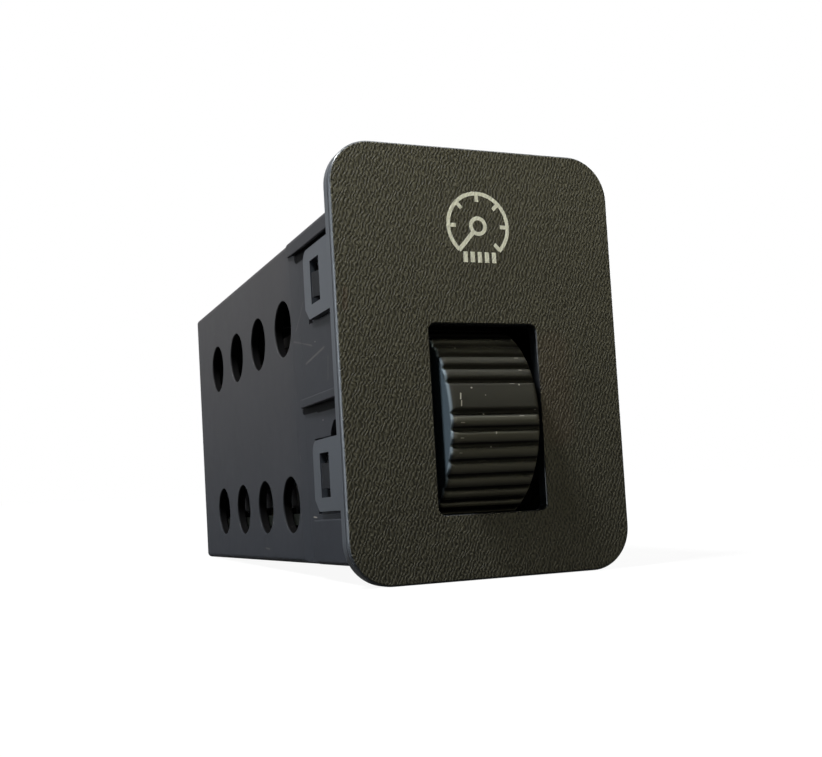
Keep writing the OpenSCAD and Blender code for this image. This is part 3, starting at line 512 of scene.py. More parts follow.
@dataclass(frozen=True)
class GrainedMoulding:
    """Finish of the bezel: a leather grain face with painted shade in its creases, and a glossy rim, back and loops
    in a paler, bluer colour that is partly a painted reflection, with painted shade on the window's jambs.
    """

    name: str
    colour: Colour
    # Colour of the glossy rim, back and loops: dark plastic with a painted cool reflection, paler and bluer.
    polished_sheen: Colour
    face_y: float
    grain_pitch: float = 0.48
    grain_warp: float = 5.4
    grain_depth: float = 0.11
    roughness: float = 0.55
    polish: float = 0.32
    specular: float = 0.36
    leans: tuple[Pair, ...] = ((23.0, 1.0), (-23.0, 0.95))
    bend_size: float = 0.8
    pore_size: float = 0.22
    pore_share: float = 0.45
    cloud_size: float = 8.0
    face_skin: Pair = (0.06, 0.005)
    crease: Pair = (0.34, 0.80)
    # Tone factor of the painted shade in the grain's creases.
    crease_shade_tone: float = 0.30
    paler_tone: float = 1.3
    # Tone factor of the painted shade on the window's jambs.
    jamb_shade_tone: float = 0.25
    jamb_x: Pair = (15.0, 16.0)
    jamb_z: Pair = (24.0, 25.0)
    wear_colour: Colour = (0.066, 0.045, 0.030)
    placed_marks: tuple[Mark, ...] = ()

    def wrinkles(self, recipe: Recipe) -> Output:
        """Height of the leather grain: two sets of wavy upright ridges that lean left and right and cross each other
        in small diamonds, with fine pores on them.

        Args:
            recipe: the tree to write into.

        Returns:
            The height output, 0 in the creases.
        """
        total: object = 0.0
        for lean, size in self.leans:
            where = recipe.place((1.0, 0.1, 1.0), (0.0, lean, 0.0))
            ridge = recipe.waves(where, self.grain_pitch * size, self.grain_warp, self.bend_size)
            total = recipe.calc("ADD", total, recipe.calc("MULTIPLY", ridge, 0.5))
        pores = recipe.noise(self.pore_size, 2.0, 0.6)
        return recipe.calc("ADD", total, recipe.calc("MULTIPLY", pores, self.pore_share))

    def make(self) -> bpy.types.Material:
        """Builds the material: painted shade in the creases of the grained face, and a glossy rim, back and loops in a
        paler, bluer colour that is partly a painted reflection, with the window's jambs darker by painted shade.

        Returns:
            The material.
        """
        recipe = Recipe(self.name)
        on_face = recipe.spread(recipe.axis("Y"), *(self.face_y + depth for depth in self.face_skin))
        height = recipe.calc("MULTIPLY", self.wrinkles(recipe), on_face)
        normal = recipe.bump(height, self.grain_depth)
        cloud = recipe.spread(recipe.noise(self.cloud_size, 3.0), 0.3, 0.7)
        retoned = shade(self.colour, self.paler_tone)
        grained = recipe.mix(recipe.calc("MULTIPLY", cloud, 0.5), self.colour, retoned)
        # Painted shade in the grain's creases.
        grained = recipe.mix(recipe.spread(height, *self.crease), shade(self.colour, self.crease_shade_tone), grained)
        if self.placed_marks:
            grained = recipe.mix(recipe.marks(self.placed_marks), grained, self.wear_colour)
        outer = recipe.calc("MAXIMUM", recipe.spread(recipe.calc("ABSOLUTE", recipe.axis("X")), *self.jamb_x),
                            recipe.spread(recipe.calc("ABSOLUTE", recipe.axis("Z")), *self.jamb_z))
        # Painted shade on the window's jambs.
        plain = recipe.mix(outer, shade(self.polished_sheen, self.jamb_shade_tone), self.polished_sheen)
        tone = recipe.mix(on_face, plain, grained)
        rough = recipe.spread(on_face, 0.0, 1.0, self.polish, self.roughness)
        rough = recipe.calc("ADD", rough, recipe.spread(cloud, 0.0, 1.0, -0.03, 0.03))
        return recipe.surface(tone, rough, normal,
                              Specular_IOR_Level=recipe.spread(on_face, 0.0, 1.0, 0.5, self.specular))


@dataclass(frozen=True)
class Ink:
    """Finish of the printed symbol, which follows the grain below it."""

    name: str
    colour: Colour
    ground: GrainedMoulding

    def make(self) -> bpy.types.Material:
        """Builds the material.

        Returns:
            The material.
        """
        recipe = Recipe(self.name)
        height = self.ground.wrinkles(recipe)
        thin = recipe.spread(height, 0.05, 0.45, 0.82, 1.0)
        darkening = recipe.noise(0.5, 3.0)
        tone = recipe.mix(recipe.calc("MULTIPLY", thin, recipe.spread(darkening, 0.3, 0.6, 0.88, 1.0)),
                          self.ground.colour, self.colour)
        return recipe.surface(tone, 0.75, recipe.bump(height, self.ground.grain_depth, 0.4), Specular_IOR_Level=0.2)


@dataclass(frozen=True)
class Metal:
    """Finish of a drawn, rolled or tinned metal piece."""

    name: str
    colour: Colour
    roughness: float
    lay: Lay
    tarnish: Colour = (0.30, 0.26, 0.20)

    def make(self) -> bpy.types.Material:
        """Builds the material.

        Returns:
            The material.
        """
        recipe = Recipe(self.name)
        streaks = recipe.noise(1.0, 3.0, 0.6, recipe.place(self.lay.value))
        cloud = recipe.spread(recipe.noise(2.5, 3.0), 0.45, 0.8, 0.0, 0.5)
        tone = recipe.mix(cloud, self.colour, shade(self.colour, self.tarnish))
        tone = recipe.mix(recipe.spread(streaks, 0.3, 0.7, 0.0, 0.25), tone, shade(self.colour, 0.6))
        rough = recipe.spread(streaks, 0.3, 0.7, self.roughness - 0.06, self.roughness + 0.1)
        return recipe.surface(tone, rough, recipe.bump(streaks, 0.012, 0.5), Metallic=1.0)


@dataclass(frozen=True)
class Laminate:
    """Finish of a circuit board: woven or paper sheet, bare or under a glossy mask."""

    name: str
    colour: Colour
    fibre: Colour
    weave: float
    gloss: float
    coat: float

    def make(self) -> bpy.types.Material:
        """Builds the material.

        Returns:
            The material.
        """
        recipe = Recipe(self.name)
        warp = recipe.noise(self.weave, where=recipe.place((1.0, 8.0, 1.0)))
        weft = recipe.noise(self.weave, where=recipe.place((8.0, 1.0, 1.0)))
        cloth = recipe.calc("MULTIPLY", warp, weft)
        tone = recipe.mix(recipe.spread(cloth, 0.1, 0.4), self.colour, self.fibre)
        return recipe.surface(tone, self.gloss, recipe.bump(cloth, 0.03, 0.4), Coat_Weight=self.coat)


@dataclass(frozen=True)
class Camera:
    """The photograph's camera, found from the edges of the plate, the window, the housing and the vents."""

    place: Point
    turn: float
    tilt: float
    roll: float
    focal: float
    centre: Pixel

    def axes(self) -> np.ndarray:
        """Directions of the camera: rows are right, forward and up.

        Returns:
            Rotation of 3 by 3: a turn about the vertical, then a tilt, then a roll about the view.
        """
        a, b, c = (math.radians(v) for v in (self.turn, self.tilt, self.roll))
        about_z = np.array([[math.cos(a), -math.sin(a), 0], [math.sin(a), math.cos(a), 0], [0, 0, 1]])
        about_x = np.array([[1, 0, 0], [0, math.cos(b), -math.sin(b)], [0, math.sin(b), math.cos(b)]])
        about_y = np.array([[math.cos(c), 0, math.sin(c)], [0, 1, 0], [-math.sin(c), 0, math.cos(c)]])
        return about_y @ about_x @ about_z

    def build(self) -> None:
        """Makes the scene's camera."""
        right, forward, up = self.axes()
        data = bpy.data.cameras.new("camera")
        data.sensor_width = SENSOR_MM
        data.lens = self.focal * SENSOR_MM / PHOTO_W
        data.shift_x = (PHOTO_W / 2 - self.centre[0]) / PHOTO_W
        data.shift_y = (self.centre[1] - PHOTO_H / 2) / PHOTO_W
        data.clip_start, data.clip_end = 0.01, 50.0
        made = bpy.data.objects.new("camera", data)
        columns = np.array([right, up, -forward]).T
        made.matrix_world = Matrix.Translation(Vector(self.place) * MM) @ Matrix(columns.tolist()).to_4x4()
        bpy.context.scene.collection.objects.link(made)
        bpy.context.scene.camera = made

    def meet(self, pixel: Pixel, node: str) -> Point:
        """Where a pixel's line of sight first meets a CAD node.

        Args:
            pixel: column and row in the photograph.
            node: the node's name.

        Returns:
            The point in millimetres.
        """
        along = np.array([(pixel[0] - self.centre[0]) / self.focal, 1.0, (self.centre[1] - pixel[1]) / self.focal])
        heading = Vector((along @ self.axes()).tolist()).normalized()
        hit, point, _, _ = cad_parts[node].ray_cast(Vector(self.place) * MM, heading)
        if not hit:
            raise ValueError(f"the line of sight through {pixel} misses {node}")
        return tuple(c / MM for c in point)


CAMERA = Camera(place=(-63.108, -120.469, -18.247), turn=22.1574, tilt=-3.3089, roll=-3.208, focal=1077.16,
                centre=(380.0, 451.39))


# Places marks of any kind: lint and scratches, and also painted shadows and painted highlights.
def placed_marks(node: str, *rows: tuple[float, ...]) -> tuple[Mark, ...]:
    """Marks on a node, placed by pixels of the photograph.

    Args:
        node: the node that carries them.
        *rows: column and row of the start, the same of the end if it isn't a dot, half width in millimetres, strength.

    Returns:
        The marks.
    """
    return tuple(
        Mark(CAMERA.meet(ends[:2], node), CAMERA.meet(ends[-2:], node), radius, strength)
        for *ends, radius, strength in rows
    )


def mesh_piece(name: str, surface: Surface, material: bpy.types.Material, smooth: bool = False) -> bpy.types.Object:
    """A new piece from arrays.

    Args:
        name: the piece's name.
        surface: n by 3 places in millimetres, and m by 4 indices, outward by the right-hand rule.
        material: its finish.
        smooth: shades it as one round surface.

    Returns:
        The object, at the origin.
    """
    vertices, faces = surface
    mesh = bpy.data.meshes.new(name)
    mesh.from_pydata((vertices * MM).tolist(), [], faces.tolist(), shade_flat=not smooth)
    mesh.validate()
    mesh.materials.append(material)
    made = bpy.data.objects.new(name, mesh)
    bpy.context.scene.collection.objects.link(made)
    LOG.info("%s has %d faces", name, len(faces))
    return made


def skin(rings: np.ndarray) -> Surface:
    """A closed surface through rings of points: quads from ring to ring, and each end ring closed by quads that join
    its point i to its point n - 1 - i.

    Args:
        rings: k by n by 3 places, each ring turning right-handed about the way from the first ring to the last.

    Returns:
        Vertices and faces.
    """
    k, n, _ = rings.shape
    start = (np.arange(k - 1)[:, None] * n + np.arange(n)).ravel()
    after = (np.arange(k - 1)[:, None] * n + (np.arange(n) + 1) % n).ravel()
    sides = np.stack([start, after, after + n, start + n], 1)
    i = np.arange(n // 2 - 1)
    cap = np.stack([n - 1 - i, n - 2 - i, i + 1, i], 1)
    return rings.reshape(-1, 3), np.concatenate([sides, cap, cap[:, ::-1] + (k - 1) * n])


def joined(parts: list[Surface]) -> Surface:
    """Several surfaces as one list of vertices and one of faces."""
    counts = np.cumsum([0] + [len(v) for v, _ in parts])
    return np.concatenate([v for v, _ in parts]), np.concatenate([f + c for (_, f), c in zip(parts, counts)])


@dataclass(frozen=True)
class GaugeSymbol:
    """The pictogram printed on the bezel: a dial with six ticks, a needle on a hub, and five bars below."""

    hub: Pair = (0.12, 17.1)
    dial_r: float = 4.15
    stroke: float = 0.5
    needle_w: float = 0.57
    dial_from: float = -48.0
    dial_to: float = 228.0
    ticks: tuple[float, ...] = (0.0, 45.0, 90.0, 135.0, 180.0, -46.0)
    tick_l: float = 0.8
    needle_past: float = 0.1
    hub_r: float = 1.0
    bars: int = 5
    bar_w: float = 0.6
    bar_pitch: float = 1.0
    bar_low: float = 12.45
    bar_high: float = 13.80
    face_y: float = -2.0
    ink_t: float = 0.012
    under_share: float = 0.7
    dial_points: int = 97
    hub_points: int = 48

    def stroke_of(self, path: np.ndarray, width: float, closed: bool = False, under: bool = False) -> Surface:
        """A printed line: a flat bar carried along a path, its two edges half a width to either side of it.

        Args:
            path: n by 2 places of the line's middle, x and z.
            width: width of the line.
            closed: joins the end to the start.
            under: makes it a little thinner, so that it lies under the strokes that it crosses.

        Returns:
            Vertices and faces of a closed slab.
        """
        ahead = np.roll(path, -1, 0) - path
        behind = path - np.roll(path, 1, 0)
        if not closed:
            ahead[-1], behind[0] = behind[-1], ahead[0]
        tangent = ahead + behind
        tangent /= np.linalg.norm(tangent, axis=1)[:, None]
        side = np.stack([-tangent[:, 1], tangent[:, 0]], 1) * width / 2
        front = self.face_y - self.ink_t * (self.under_share if under else 1.0)
        back = self.face_y + self.ink_t
        ring = [(path + side, front), (path - side, front), (path - side, back), (path + side, back)]
        rows = [np.stack([p[:, 0], np.full(len(p), y), p[:, 1]], 1) for p, y in ring]
        vertices = np.stack(rows, 1).reshape(-1, 3)
        n = len(path)
        start = np.arange(n if closed else n - 1)
        following = (start + 1) % n
        faces = [
            np.stack([4 * start + k, 4 * following + k, 4 * following + (k + 1) % 4, 4 * start + (k + 1) % 4], 1)
            for k in range(4)
        ]
        if not closed:
            last = 4 * (n - 1)
            faces.append(np.array([[0, 1, 2, 3], [last + 3, last + 2, last + 1, last]]))
        return vertices, np.concatenate(faces)

    def arc(self, radius: float, start: float, end: float, steps: int) -> np.ndarray:
        """Points on a circle about the hub, by the cosine and sine of even steps from start to end in degrees."""
        angle = np.radians(np.linspace(start, end, steps))
        return np.array(self.hub) + radius * np.stack([np.cos(angle), np.sin(angle)], 1)

    def spoke(self, angle: float, inner: float, outer: float) -> np.ndarray:
        """Two points on a ray from the hub at an angle in degrees, at the inner and the outer distance."""
        ray = np.array([math.cos(math.radians(angle)), math.sin(math.radians(angle))])
        return np.array(self.hub) + np.outer([inner, outer], ray)

    def build(self, finish: Ink) -> bpy.types.Object:
        """Makes the symbol as one piece on the bezel's face.

        Args:
            finish: the print's finish.

        Returns:
            The piece.
        """
        needle = self.spoke(self.dial_to, self.hub_r, self.dial_r + self.needle_past)
        strokes = [
            self.stroke_of(self.arc(self.dial_r, self.dial_from, self.dial_to, self.dial_points), self.stroke),
            self.stroke_of(self.arc(self.hub_r, 0, 360, self.hub_points + 1)[:-1], self.stroke, closed=True),
            self.stroke_of(needle, self.needle_w, under=True),
        ]
        for angle in self.ticks:
            ends = self.spoke(angle, self.dial_r - self.stroke / 2 - self.tick_l, self.dial_r)
            strokes.append(self.stroke_of(ends, self.stroke, under=True))
        for k in range(self.bars):
            x = self.hub[0] + (k - (self.bars - 1) / 2) * self.bar_pitch
            strokes.append(self.stroke_of(np.array([[x, self.bar_low], [x, self.bar_high]]), self.bar_w))
        return mesh_piece("gauge_symbol", joined(strokes), finish.make())


Finish = Moulding | GrainedMoulding | Metal | Laminate


def dress(finish: Finish, *nodes: str) -> bpy.types.Material:
    """Gives CAD nodes a new material in place of their plain one.

    Args:
        finish: the finish to make it from.
        *nodes: names of the nodes.

    Returns:
        The material.
    """
    material = finish.make()
    for name in nodes:
        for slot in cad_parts[name].material_slots:
            slot.material = material
        LOG.info("%s wears %s", name, material.name)
    return material


@dataclass
class Bezel:
    """The plate with its rim, window and snap loops, and the symbol on its face."""

    body: str = "switch_body"
    finish: GrainedMoulding = GrainedMoulding(
        "bezel plastic", colour=(0.058, 0.055, 0.038), polished_sheen=(0.064, 0.073, 0.085), face_y=-2.0,
        placed_marks=(Mark((9.9, -2.0, -8.5), (9.7, -2.0, 1.5), 3.4, 0.35),
              Mark((-18.3, -2.0, 6.4), (-18.2, -2.0, 8.6), 0.5, 0.5)))
    symbol: GaugeSymbol = GaugeSymbol()

    def build(self) -> None:
        """Dresses the moulding and prints the symbol."""
        dress(self.finish, "bezel")
        printed = self.symbol.build(Ink("symbol ink", (0.76, 0.77, 0.68), self.finish))
        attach(printed, self.body)


@dataclass(frozen=True)
class Bar:
    """A raised bar on the housing's side: its outline from y0 to y1 and z0 to z1, and the rounding of its corners."""

    y0: float
    y1: float
    z0: float
    z1: float
    corner: float = 0.45

    def outline(self, inset: float) -> np.ndarray:
        """Rounded rectangle: on each quarter a circle's cosine and sine about the corner's centre.

        Args:
            inset: distance by which it is drawn in.

        Returns:
            4 * steps by 2 places, y and z.
        """
        steps, least_r = 8, 0.02
        r = max(self.corner - inset, least_r)
        angle = np.radians(np.linspace(0, 90, steps) + 90 * np.arange(4)[:, None]).ravel()
        low, high = np.array([self.y0, self.z0]) + inset + r, np.array([self.y1, self.z1]) - inset - r
        right = np.repeat([1, 0, 0, 1], steps)
        upper = np.repeat([1, 1, 0, 0], steps)
        centre = np.stack([np.where(right, high[0], low[0]), np.where(upper, high[1], low[1])], 1)
        return centre + r * np.stack([np.cos(angle), np.sin(angle)], 1)

    def pillow(self, foot: float, top: float, edge: float, side: int) -> Surface:
        """The bar's body: its outline carried outwards, and drawn in by a quarter circle at its outer edge.

        Args:
            foot: distance of its foot from the part's middle plane.
            top: distance of its face.
            edge: radius of the rounded edge.
            side: -1 for the left side, 1 for the right.

        Returns:
            Vertices and faces.
        """
        turn = np.radians(np.linspace(0, 90, 6))
        insets = np.concatenate([[0.0], edge * (1 - np.cos(turn))])
        reach = np.concatenate([[foot], top - edge + edge * np.sin(turn)])
        flats = [self.outline(inset) for inset in insets]
        rings = np.array([np.column_stack([np.full(len(flat), side * x), flat]) for flat, x in zip(flats, reach)])
        return skin(rings if side > 0 else rings[:, ::-1])


@dataclass
class Housing:
    """The vented sleeve with its side bars, the cover with the socket's shroud, and the light seals at the carrier."""

    body: str = "switch_body"
    bars: tuple[Bar, ...] = (
        Bar(0.4, 20.3, 17.95, 19.75),
        Bar(0.4, 19.2, -3.4, -2.2),
        Bar(0.4, 16.0, -24.15, -18.6),
    )
    bar_foot: float = 17.3
    bar_face: float = 17.68
    bar_edge: float = 0.16
    seal_x: float = 15.2
    seal_y: float = 22.15
    seal_z: Pair = (1.2, 12.4)
    seal_half: Pair = (0.85, 1.1)
    seal_waist: float = 0.08
    seal_swells: float = 2.4

    def side_bars(self, finish: bpy.types.Material) -> None:
        """Gives the three bars on each side their rounded faces, a little prouder than the sleeve's own.

        Args:
            finish: the housing's finish.
        """
        sizes = (self.bar_foot, self.bar_face, self.bar_edge)
        pillows = [bar.pillow(*sizes, side) for bar in self.bars for side in (-1, 1)]
        piece = mesh_piece("side_bars", joined(pillows), finish)
        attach(piece, self.body)

    def light_seals(self) -> None:
        """Foam strips in the corners between the carrier's wings and the housing's walls.

        Each is a superellipse of power 4 in x and y, carried up along z, whose half widths shrink by a share of the
        squared sine of the height.
        """
        angle = np.linspace(0, 2 * np.pi, 24, endpoint=False)
        bulge = [np.sign(wave) * np.abs(wave) ** 0.5 for wave in (np.cos(angle), np.sin(angle))]
        heights = np.linspace(*self.seal_z, 15)
        waist = 1 - self.seal_waist * np.sin(heights * self.seal_swells) ** 2
        strips = []
        for side in (-1, 1):
            x = side * self.seal_x + self.seal_half[0] * waist[:, None] * bulge[0]
            y = self.seal_y + self.seal_half[1] * waist[:, None] * bulge[1]
            z = np.repeat(heights[:, None], len(angle), 1)
            strips.append(skin(np.stack([x, y, z], 2)))
        foam = Moulding("seal foam", (0.012, 0.012, 0.013), 0.95, Texture.SPARKED, specular=0.1)
        piece = mesh_piece("light_seals", joined(strips), foam.make(), smooth=True)
        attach(piece, self.body)

    def build(self) -> None:
        """Dresses both mouldings, with the dust, lint and scratches that the photograph shows on the left side,
        and with painted shadows under the side bars and on the barbs in the loops' windows.
        """
        pale_marks = placed_marks(
            "housing",
            (323, 420, 0.14, 1), (315, 341.6, 0.12, 0.9),
            (303, 302, 296, 331, 0.1, 0.16), (294, 342, 312, 345.6, 0.16, 0.12),
            (324, 347, 306, 364, 0.2, 0.14), (328, 356, 328, 379, 0.16, 0.1),
            (262.5, 452, 262.5, 453, 0.12, 0.35), (273, 522, 273.5, 523, 0.1, 0.7),
            (314, 517, 317, 517.5, 0.1, 0.9), (331, 520, 334, 524, 0.07, 0.8),
            (334, 524, 333, 529, 0.07, 0.8), (214, 334, 214.5, 334, 0.12, 0.3),
            (217, 435, 217, 436, 0.12, 0.3), (266, 548, 270, 549, 0.15, 0.2),
            (232, 470, 233, 478, 0.12, 0.1), (300, 455, 301, 462, 0.12, 0.1),
        )
        # Painted shadows: under the top bar and the middle bar, and on the barbs in the loops' windows.
        darkening = placed_marks(
            "housing",
            (304, 411.5, 320, 407.5, 0.55, 0.95), (318, 408, 334, 403.5, 0.72, 0.95),
            (296.5, 258, 303, 253, 0.95, 0.95), (302, 250, 325, 233, 0.6, 0.9),
            (315, 275, 316.5, 296, 1, 0.7), (325.5, 465, 326.5, 486, 1, 0.7),
        )
        # The shell paints shade on hole and pocket walls, and darker and bluer towards the bottom.
        plastic = Moulding("housing plastic", (0.034, 0.0325, 0.0335), 0.56, Texture.SPARKED, specular=0.40,
                           marks=pale_marks, retoned=darkening,
                           shell=Shell(half_x=17.3, z0=-24.5, z1=20.4, y1=80.4, drawn_in_y=22.2, drawn_in=1.05))
        self.side_bars(finish=dress(plastic, "housing"))
        self.light_seals()
        dress(Moulding("cover plastic", (0.034, 0.0325, 0.0335), 0.56, Texture.SPARKED, specular=0.40), "rear_cover")


@dataclass
class WheelUnit:
    """The thumbwheel on its axle, and the fork that carries it."""

    def build(self) -> None:
        """Dresses the wheel with pale marks, some of them painted highlights, the axle's metal pieces and the carrier.
        """
        pale_marks = placed_marks(
            "thumbwheel",
            (455, 348, 0.12, 1), (471.3, 387.6, 471.7, 387.6, 0.12, 1),
            (485.6, 395, 0.1, 0.6), (460.7, 393.3, 460.7, 398.7, 0.11, 1),
            (461.6, 400.5, 461.6, 405.5, 0.1, 0.7), (483.5, 414, 0.14, 1),
            (496.5, 431.7, 496.5, 433.3, 0.12, 1), (491, 446.6, 491, 447.4, 0.1, 0.7),
            (539, 420, 0.15, 0.7), (510, 383.5, 514, 383.5, 0.12, 0.6),
            # The marks on the ribs' left ends at rows 422.5, 438 and 453 are painted highlights.
            (519, 384.4, 519, 384.6, 0.14, 0.8), (461.3, 422.5, 464.7, 422.5, 0.07, 0.8),
            (461.1, 438, 463.9, 438, 0.07, 0.8), (459.8, 453, 462.2, 453, 0.06, 0.5),
            (520, 415.5, 524, 415.5, 0.08, 0.5), (514.5, 358, 517.5, 358, 0.1, 0.35),
            (518.9, 370, 521.1, 370, 0.12, 0.35), (534.7, 409.5, 535.3, 409.5, 0.1, 0.6),
        )
        # Painted light on the side faces and a painted highlight on the ribs' left ends.
        ribs = Ribs(axis_y=8.8, axis_z=-7.1, groove_r=12.5, crest_r=13.0, half_width=6.2, count=40, band=168.75,
                    end_highlight=(0.14, 0.175, 0.20), lit_skin=(0.052, 0.072, 0.088))
        # The pale mark colour also serves the painted highlights.
        plastic = Moulding("wheel plastic", (0.028, 0.0275, 0.0225), 0.62, speckle=0.3, specular=0.12,
                           dust=(0.42, 0.40, 0.34), marks=pale_marks, edge=0.25, ribs=ribs)
        dress(plastic, "thumbwheel")
        dress(Moulding("carrier plastic", (0.012, 0.012, 0.013), 0.55), "wheel_carrier")
        steel = Metal("drawn steel", (0.56, 0.56, 0.55), 0.28, Lay.ALONG_X)
        dress(steel, "axle", "axle_clip", "friction_washer")


@dataclass
class RotaryControl:
    """The rotary control on the axle's right end, apart from its board."""

    def build(self) -> None:
        """Dresses the case, rotor, track, wiper and tags."""
        dress(Moulding("control case plastic", (0.014, 0.016, 0.022), 0.45), "control_case")
        dress(Moulding("rotor nylon", (0.52, 0.48, 0.38), 0.4, speckle=0.08), "control_rotor")
        dress(Moulding("carbon track", (0.012, 0.012, 0.013), 0.3), "control_track")
        dress(Metal("spring bronze", (0.60, 0.38, 0.20), 0.25, Lay.ALONG_Z), "control_wiper")
        tinned = Metal("tinned brass", (0.62, 0.58, 0.48), 0.32, Lay.ALONG_Y)
        dress(tinned, "control_tag_1", "control_tag_2", "control_tag_3")


@dataclass
class Electronics:
    """All boards, the rotary control's too, and what stands on them."""

    def build(self) -> None:
        """Dresses each component."""
        brown = Laminate("phenolic paper", (0.050, 0.034, 0.022), (0.070, 0.048, 0.030), 0.5, 0.7, 0.0)
        green = Laminate("masked laminate", (0.005, 0.006, 0.005), (0.009, 0.011, 0.008), 0.4, 0.35, 0.2)
        dress(brown, "control_board", "upper_board")
        dress(green, "circuit_board")
        dress(Metal("extruded aluminium", (0.26, 0.265, 0.28), 0.5, Lay.ALONG_Z, (0.7, 0.7, 0.7)), "heat_sink")
        dress(Metal("tinned steel", (0.60, 0.59, 0.56), 0.3, Lay.ALONG_Z), "transistor_tab", "transistor_screw",
              "transistor_leg_1", "transistor_leg_2", "transistor_leg_3", "resistor_lead_1", "resistor_lead_2")
        dress(Metal("pin brass", (0.66, 0.52, 0.26), 0.3, Lay.ALONG_Z), "board_pin_1", "board_pin_2")
        epoxy = Moulding("component epoxy", (0.013, 0.013, 0.014), 0.5, Texture.SPARKED)
        dress(epoxy, "transistor_body", "control_chip", "diode")
        dress(Moulding("shrunk sleeve", (0.012, 0.020, 0.065), 0.22), "capacitor", "timing_capacitor")
        dress(Moulding("ferrite", (0.055, 0.050, 0.050), 0.7, Texture.SPARKED), "choke_core")
        dress(Moulding("enamelled copper", (0.32, 0.09, 0.025), 0.2, speckle=0.2), "choke_winding")
        dress(Moulding("dipped epoxy", (0.10, 0.035, 0.012), 0.3), "film_capacitor")
        dress(Moulding("ceramic", (0.11, 0.105, 0.095), 0.75, Texture.SPARKED, 0.06), "power_resistor")


@dataclass
class Socket:
    """The blades in the rear socket."""

    blades: int = 5

    def build(self) -> None:
        """Dresses the blades."""
        brass = Metal("blade brass", (0.68, 0.52, 0.25), 0.27, Lay.ALONG_Y)
        dress(brass, *(f"blade_{k + 1}" for k in range(self.blades)))


@dataclass(frozen=True)
class Panel:
    """A soft light: where it stands, its size, power in watts, colour, what it faces and how wide it spreads."""

    name: str
    place: Point
    size: Pair
    power: float
    colour: Colour = (1.0, 1.0, 1.0)
    aim: Point = (0.0, 38.0, 0.0)
    spread: float = 180.0

    def build(self) -> None:
        """Makes the area light."""
        data = bpy.data.lights.new(self.name, "AREA")
        data.shape = "RECTANGLE"
        data.size, data.size_y = (s * MM for s in self.size)
        data.energy = self.power
        data.color = self.colour
        data.spread = math.radians(self.spread)
        made = bpy.data.objects.new(self.name, data)
        target = Vector(self.aim) * MM
        place = Vector(self.place) * MM
        made.matrix_world = Matrix.Translation(place) @ (target - place).to_track_quat("-Z", "Y").to_matrix().to_4x4()
        bpy.context.scene.collection.objects.link(made)


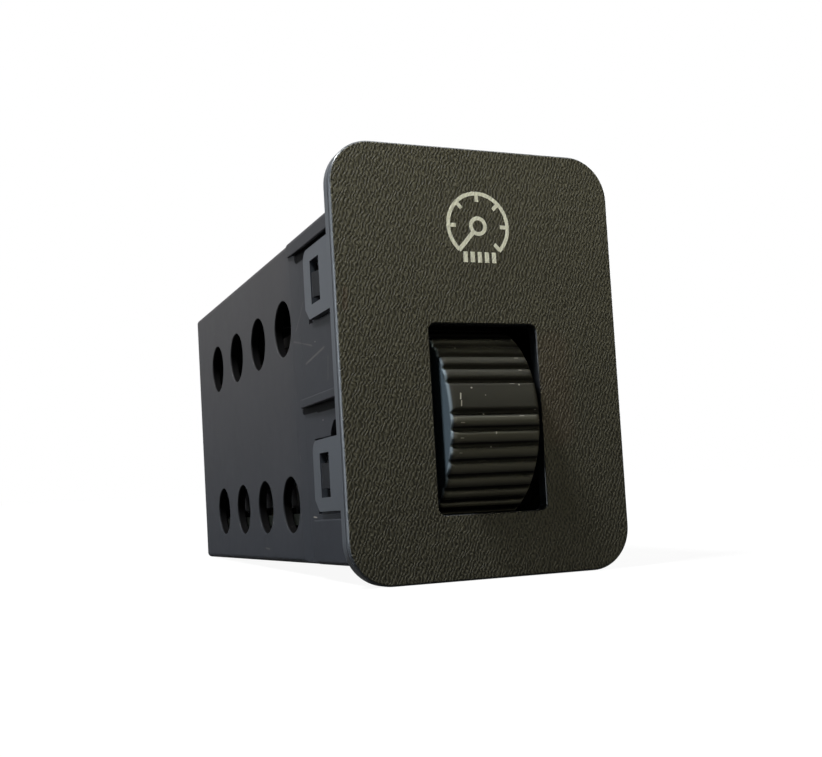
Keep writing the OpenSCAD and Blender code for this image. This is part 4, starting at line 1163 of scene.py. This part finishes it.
@dataclass
class Studio:
    """Pale floor under the part, white surroundings, and soft lights from the left, the front, above and behind."""

    floor_half: float = 2500.0
    foot_front: Pair = (-2.0, -27.0)
    foot_rear: Pair = (80.4, -24.5)
    floor_white: float = 0.93
    shadow_fade: Pair = (90.0, 260.0)
    lamps: tuple[Panel, ...] = (
        Panel("left window", (-285, -58, 530), (110, 110), 6.6, (0.98, 0.99, 1.0)),
        Panel("front light", (80, -390, 225), (220, 110), 0.053, (1.0, 0.965, 0.74), (-14, -2, 61), 21.5),
        Panel("low front light", (-40, -390, -110), (160, 80), 0.045, (1.0, 0.98, 0.86), (0, -2, -14), 14.0),
        Panel("top light", (120, 160, 600), (300, 300), 0.8),
        Panel("rear light", (420, 420, 220), (400, 400), 2.8),
    )

    def floor(self) -> None:
        """Lays the floor under the bezel's lower edge and the housing's rear edge, on which the part rests.

        The camera sees near white with the part's own soft shadow, which fades into plain white far from the part.
        """
        slope = (self.foot_rear[1] - self.foot_front[1]) / (self.foot_rear[0] - self.foot_front[0])
        y = np.array([-self.floor_half, self.floor_half])
        z = self.foot_front[1] + slope * (y - self.foot_front[0])
        corners = np.array([[x, y[i], z[i]] for x, i in ((-1, 0), (1, 0), (1, 1), (-1, 1))], float)
        corners[:, 0] *= self.floor_half
        recipe = Recipe("pale floor")
        ground = mesh_piece("floor", (corners, np.array([[0, 1, 2, 3]])), recipe.material)
        far = recipe.spread(recipe.length(recipe.where), *self.shadow_fade, self.floor_white, 1.0, smooth=True)
        cloth = recipe.mix(recipe.noise(60.0, 3.0), (0.05, 0.05, 0.05), (0.06, 0.06, 0.06))
        behind = recipe.spread(recipe.axis("Y"), -60.0, 160.0, 0.02, 0.06, smooth=True)
        direct, glossy = recipe.rays()
        seen = recipe.calc("MAXIMUM", recipe.calc("MULTIPLY", direct, far), recipe.calc("MULTIPLY", glossy, behind))
        matte = recipe.node("BsdfDiffuse", {"Color": cloth})
        glow = recipe.node("Emission", {"Strength": seen})
        recipe.close(recipe.node("AddShader", {0: matte.outputs[0], 1: glow.outputs[0]}))

    def surroundings(self) -> None:
        """White to the camera. Reflections find a bright window on the left, a pale wall behind the part and a dim room
        before it, darker and bluer towards the ground, and all else gets a low even light."""
        world = bpy.data.worlds.new("surroundings")
        recipe = Recipe("surroundings", world)
        height = recipe.axis("Z")
        wall = recipe.mix(recipe.spread(height, -0.06, 0.20, smooth=True), (0.02, 0.027, 0.042), (0.40, 0.40, 0.40))
        room = recipe.mix(recipe.spread(height, -0.05, 0.45, smooth=True), (0.012, 0.013, 0.015), (0.22, 0.21, 0.17))
        around = recipe.mix(recipe.spread(recipe.axis("Y"), -0.1, 0.5, smooth=True), room, wall)
        window = recipe.calc("MULTIPLY", recipe.spread(recipe.axis("X"), -0.86, -0.97, smooth=True),
                            recipe.spread(height, -0.25, 0.0, 0.3, 1.0))
        around = recipe.mix(window, around, (7.4, 8.0, 8.5))
        direct, glossy = recipe.rays()
        dim = recipe.mix(recipe.spread(height, -0.5, 0.8), (0.010, 0.012, 0.016), (0.07, 0.07, 0.07))
        lit = recipe.mix(glossy, dim, around)
        colour = recipe.mix(direct, lit, (1.0, 1.0, 1.0))
        recipe.close(recipe.node("Background", {"Color": colour}), "World")
        bpy.context.scene.world = world

    def build(self) -> None:
        """Makes the floor, the world and the lights."""
        bpy.context.scene.view_settings.view_transform = "Standard"
        self.floor()
        self.surroundings()
        for lamp in self.lamps:
            lamp.build()


def main() -> None:
    """Builds the camera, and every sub-assembly in order and the studio."""
    logging.basicConfig(level=logging.INFO, format="%(name)s: %(message)s")
    CAMERA.build()
    for assembly in (Bezel(), Housing(), WheelUnit(), RotaryControl(), Electronics(), Socket()):
        assembly.build()
        LOG.info("%s built", type(assembly).__name__)
    Studio().build()


if __name__ == "__main__":
    main()
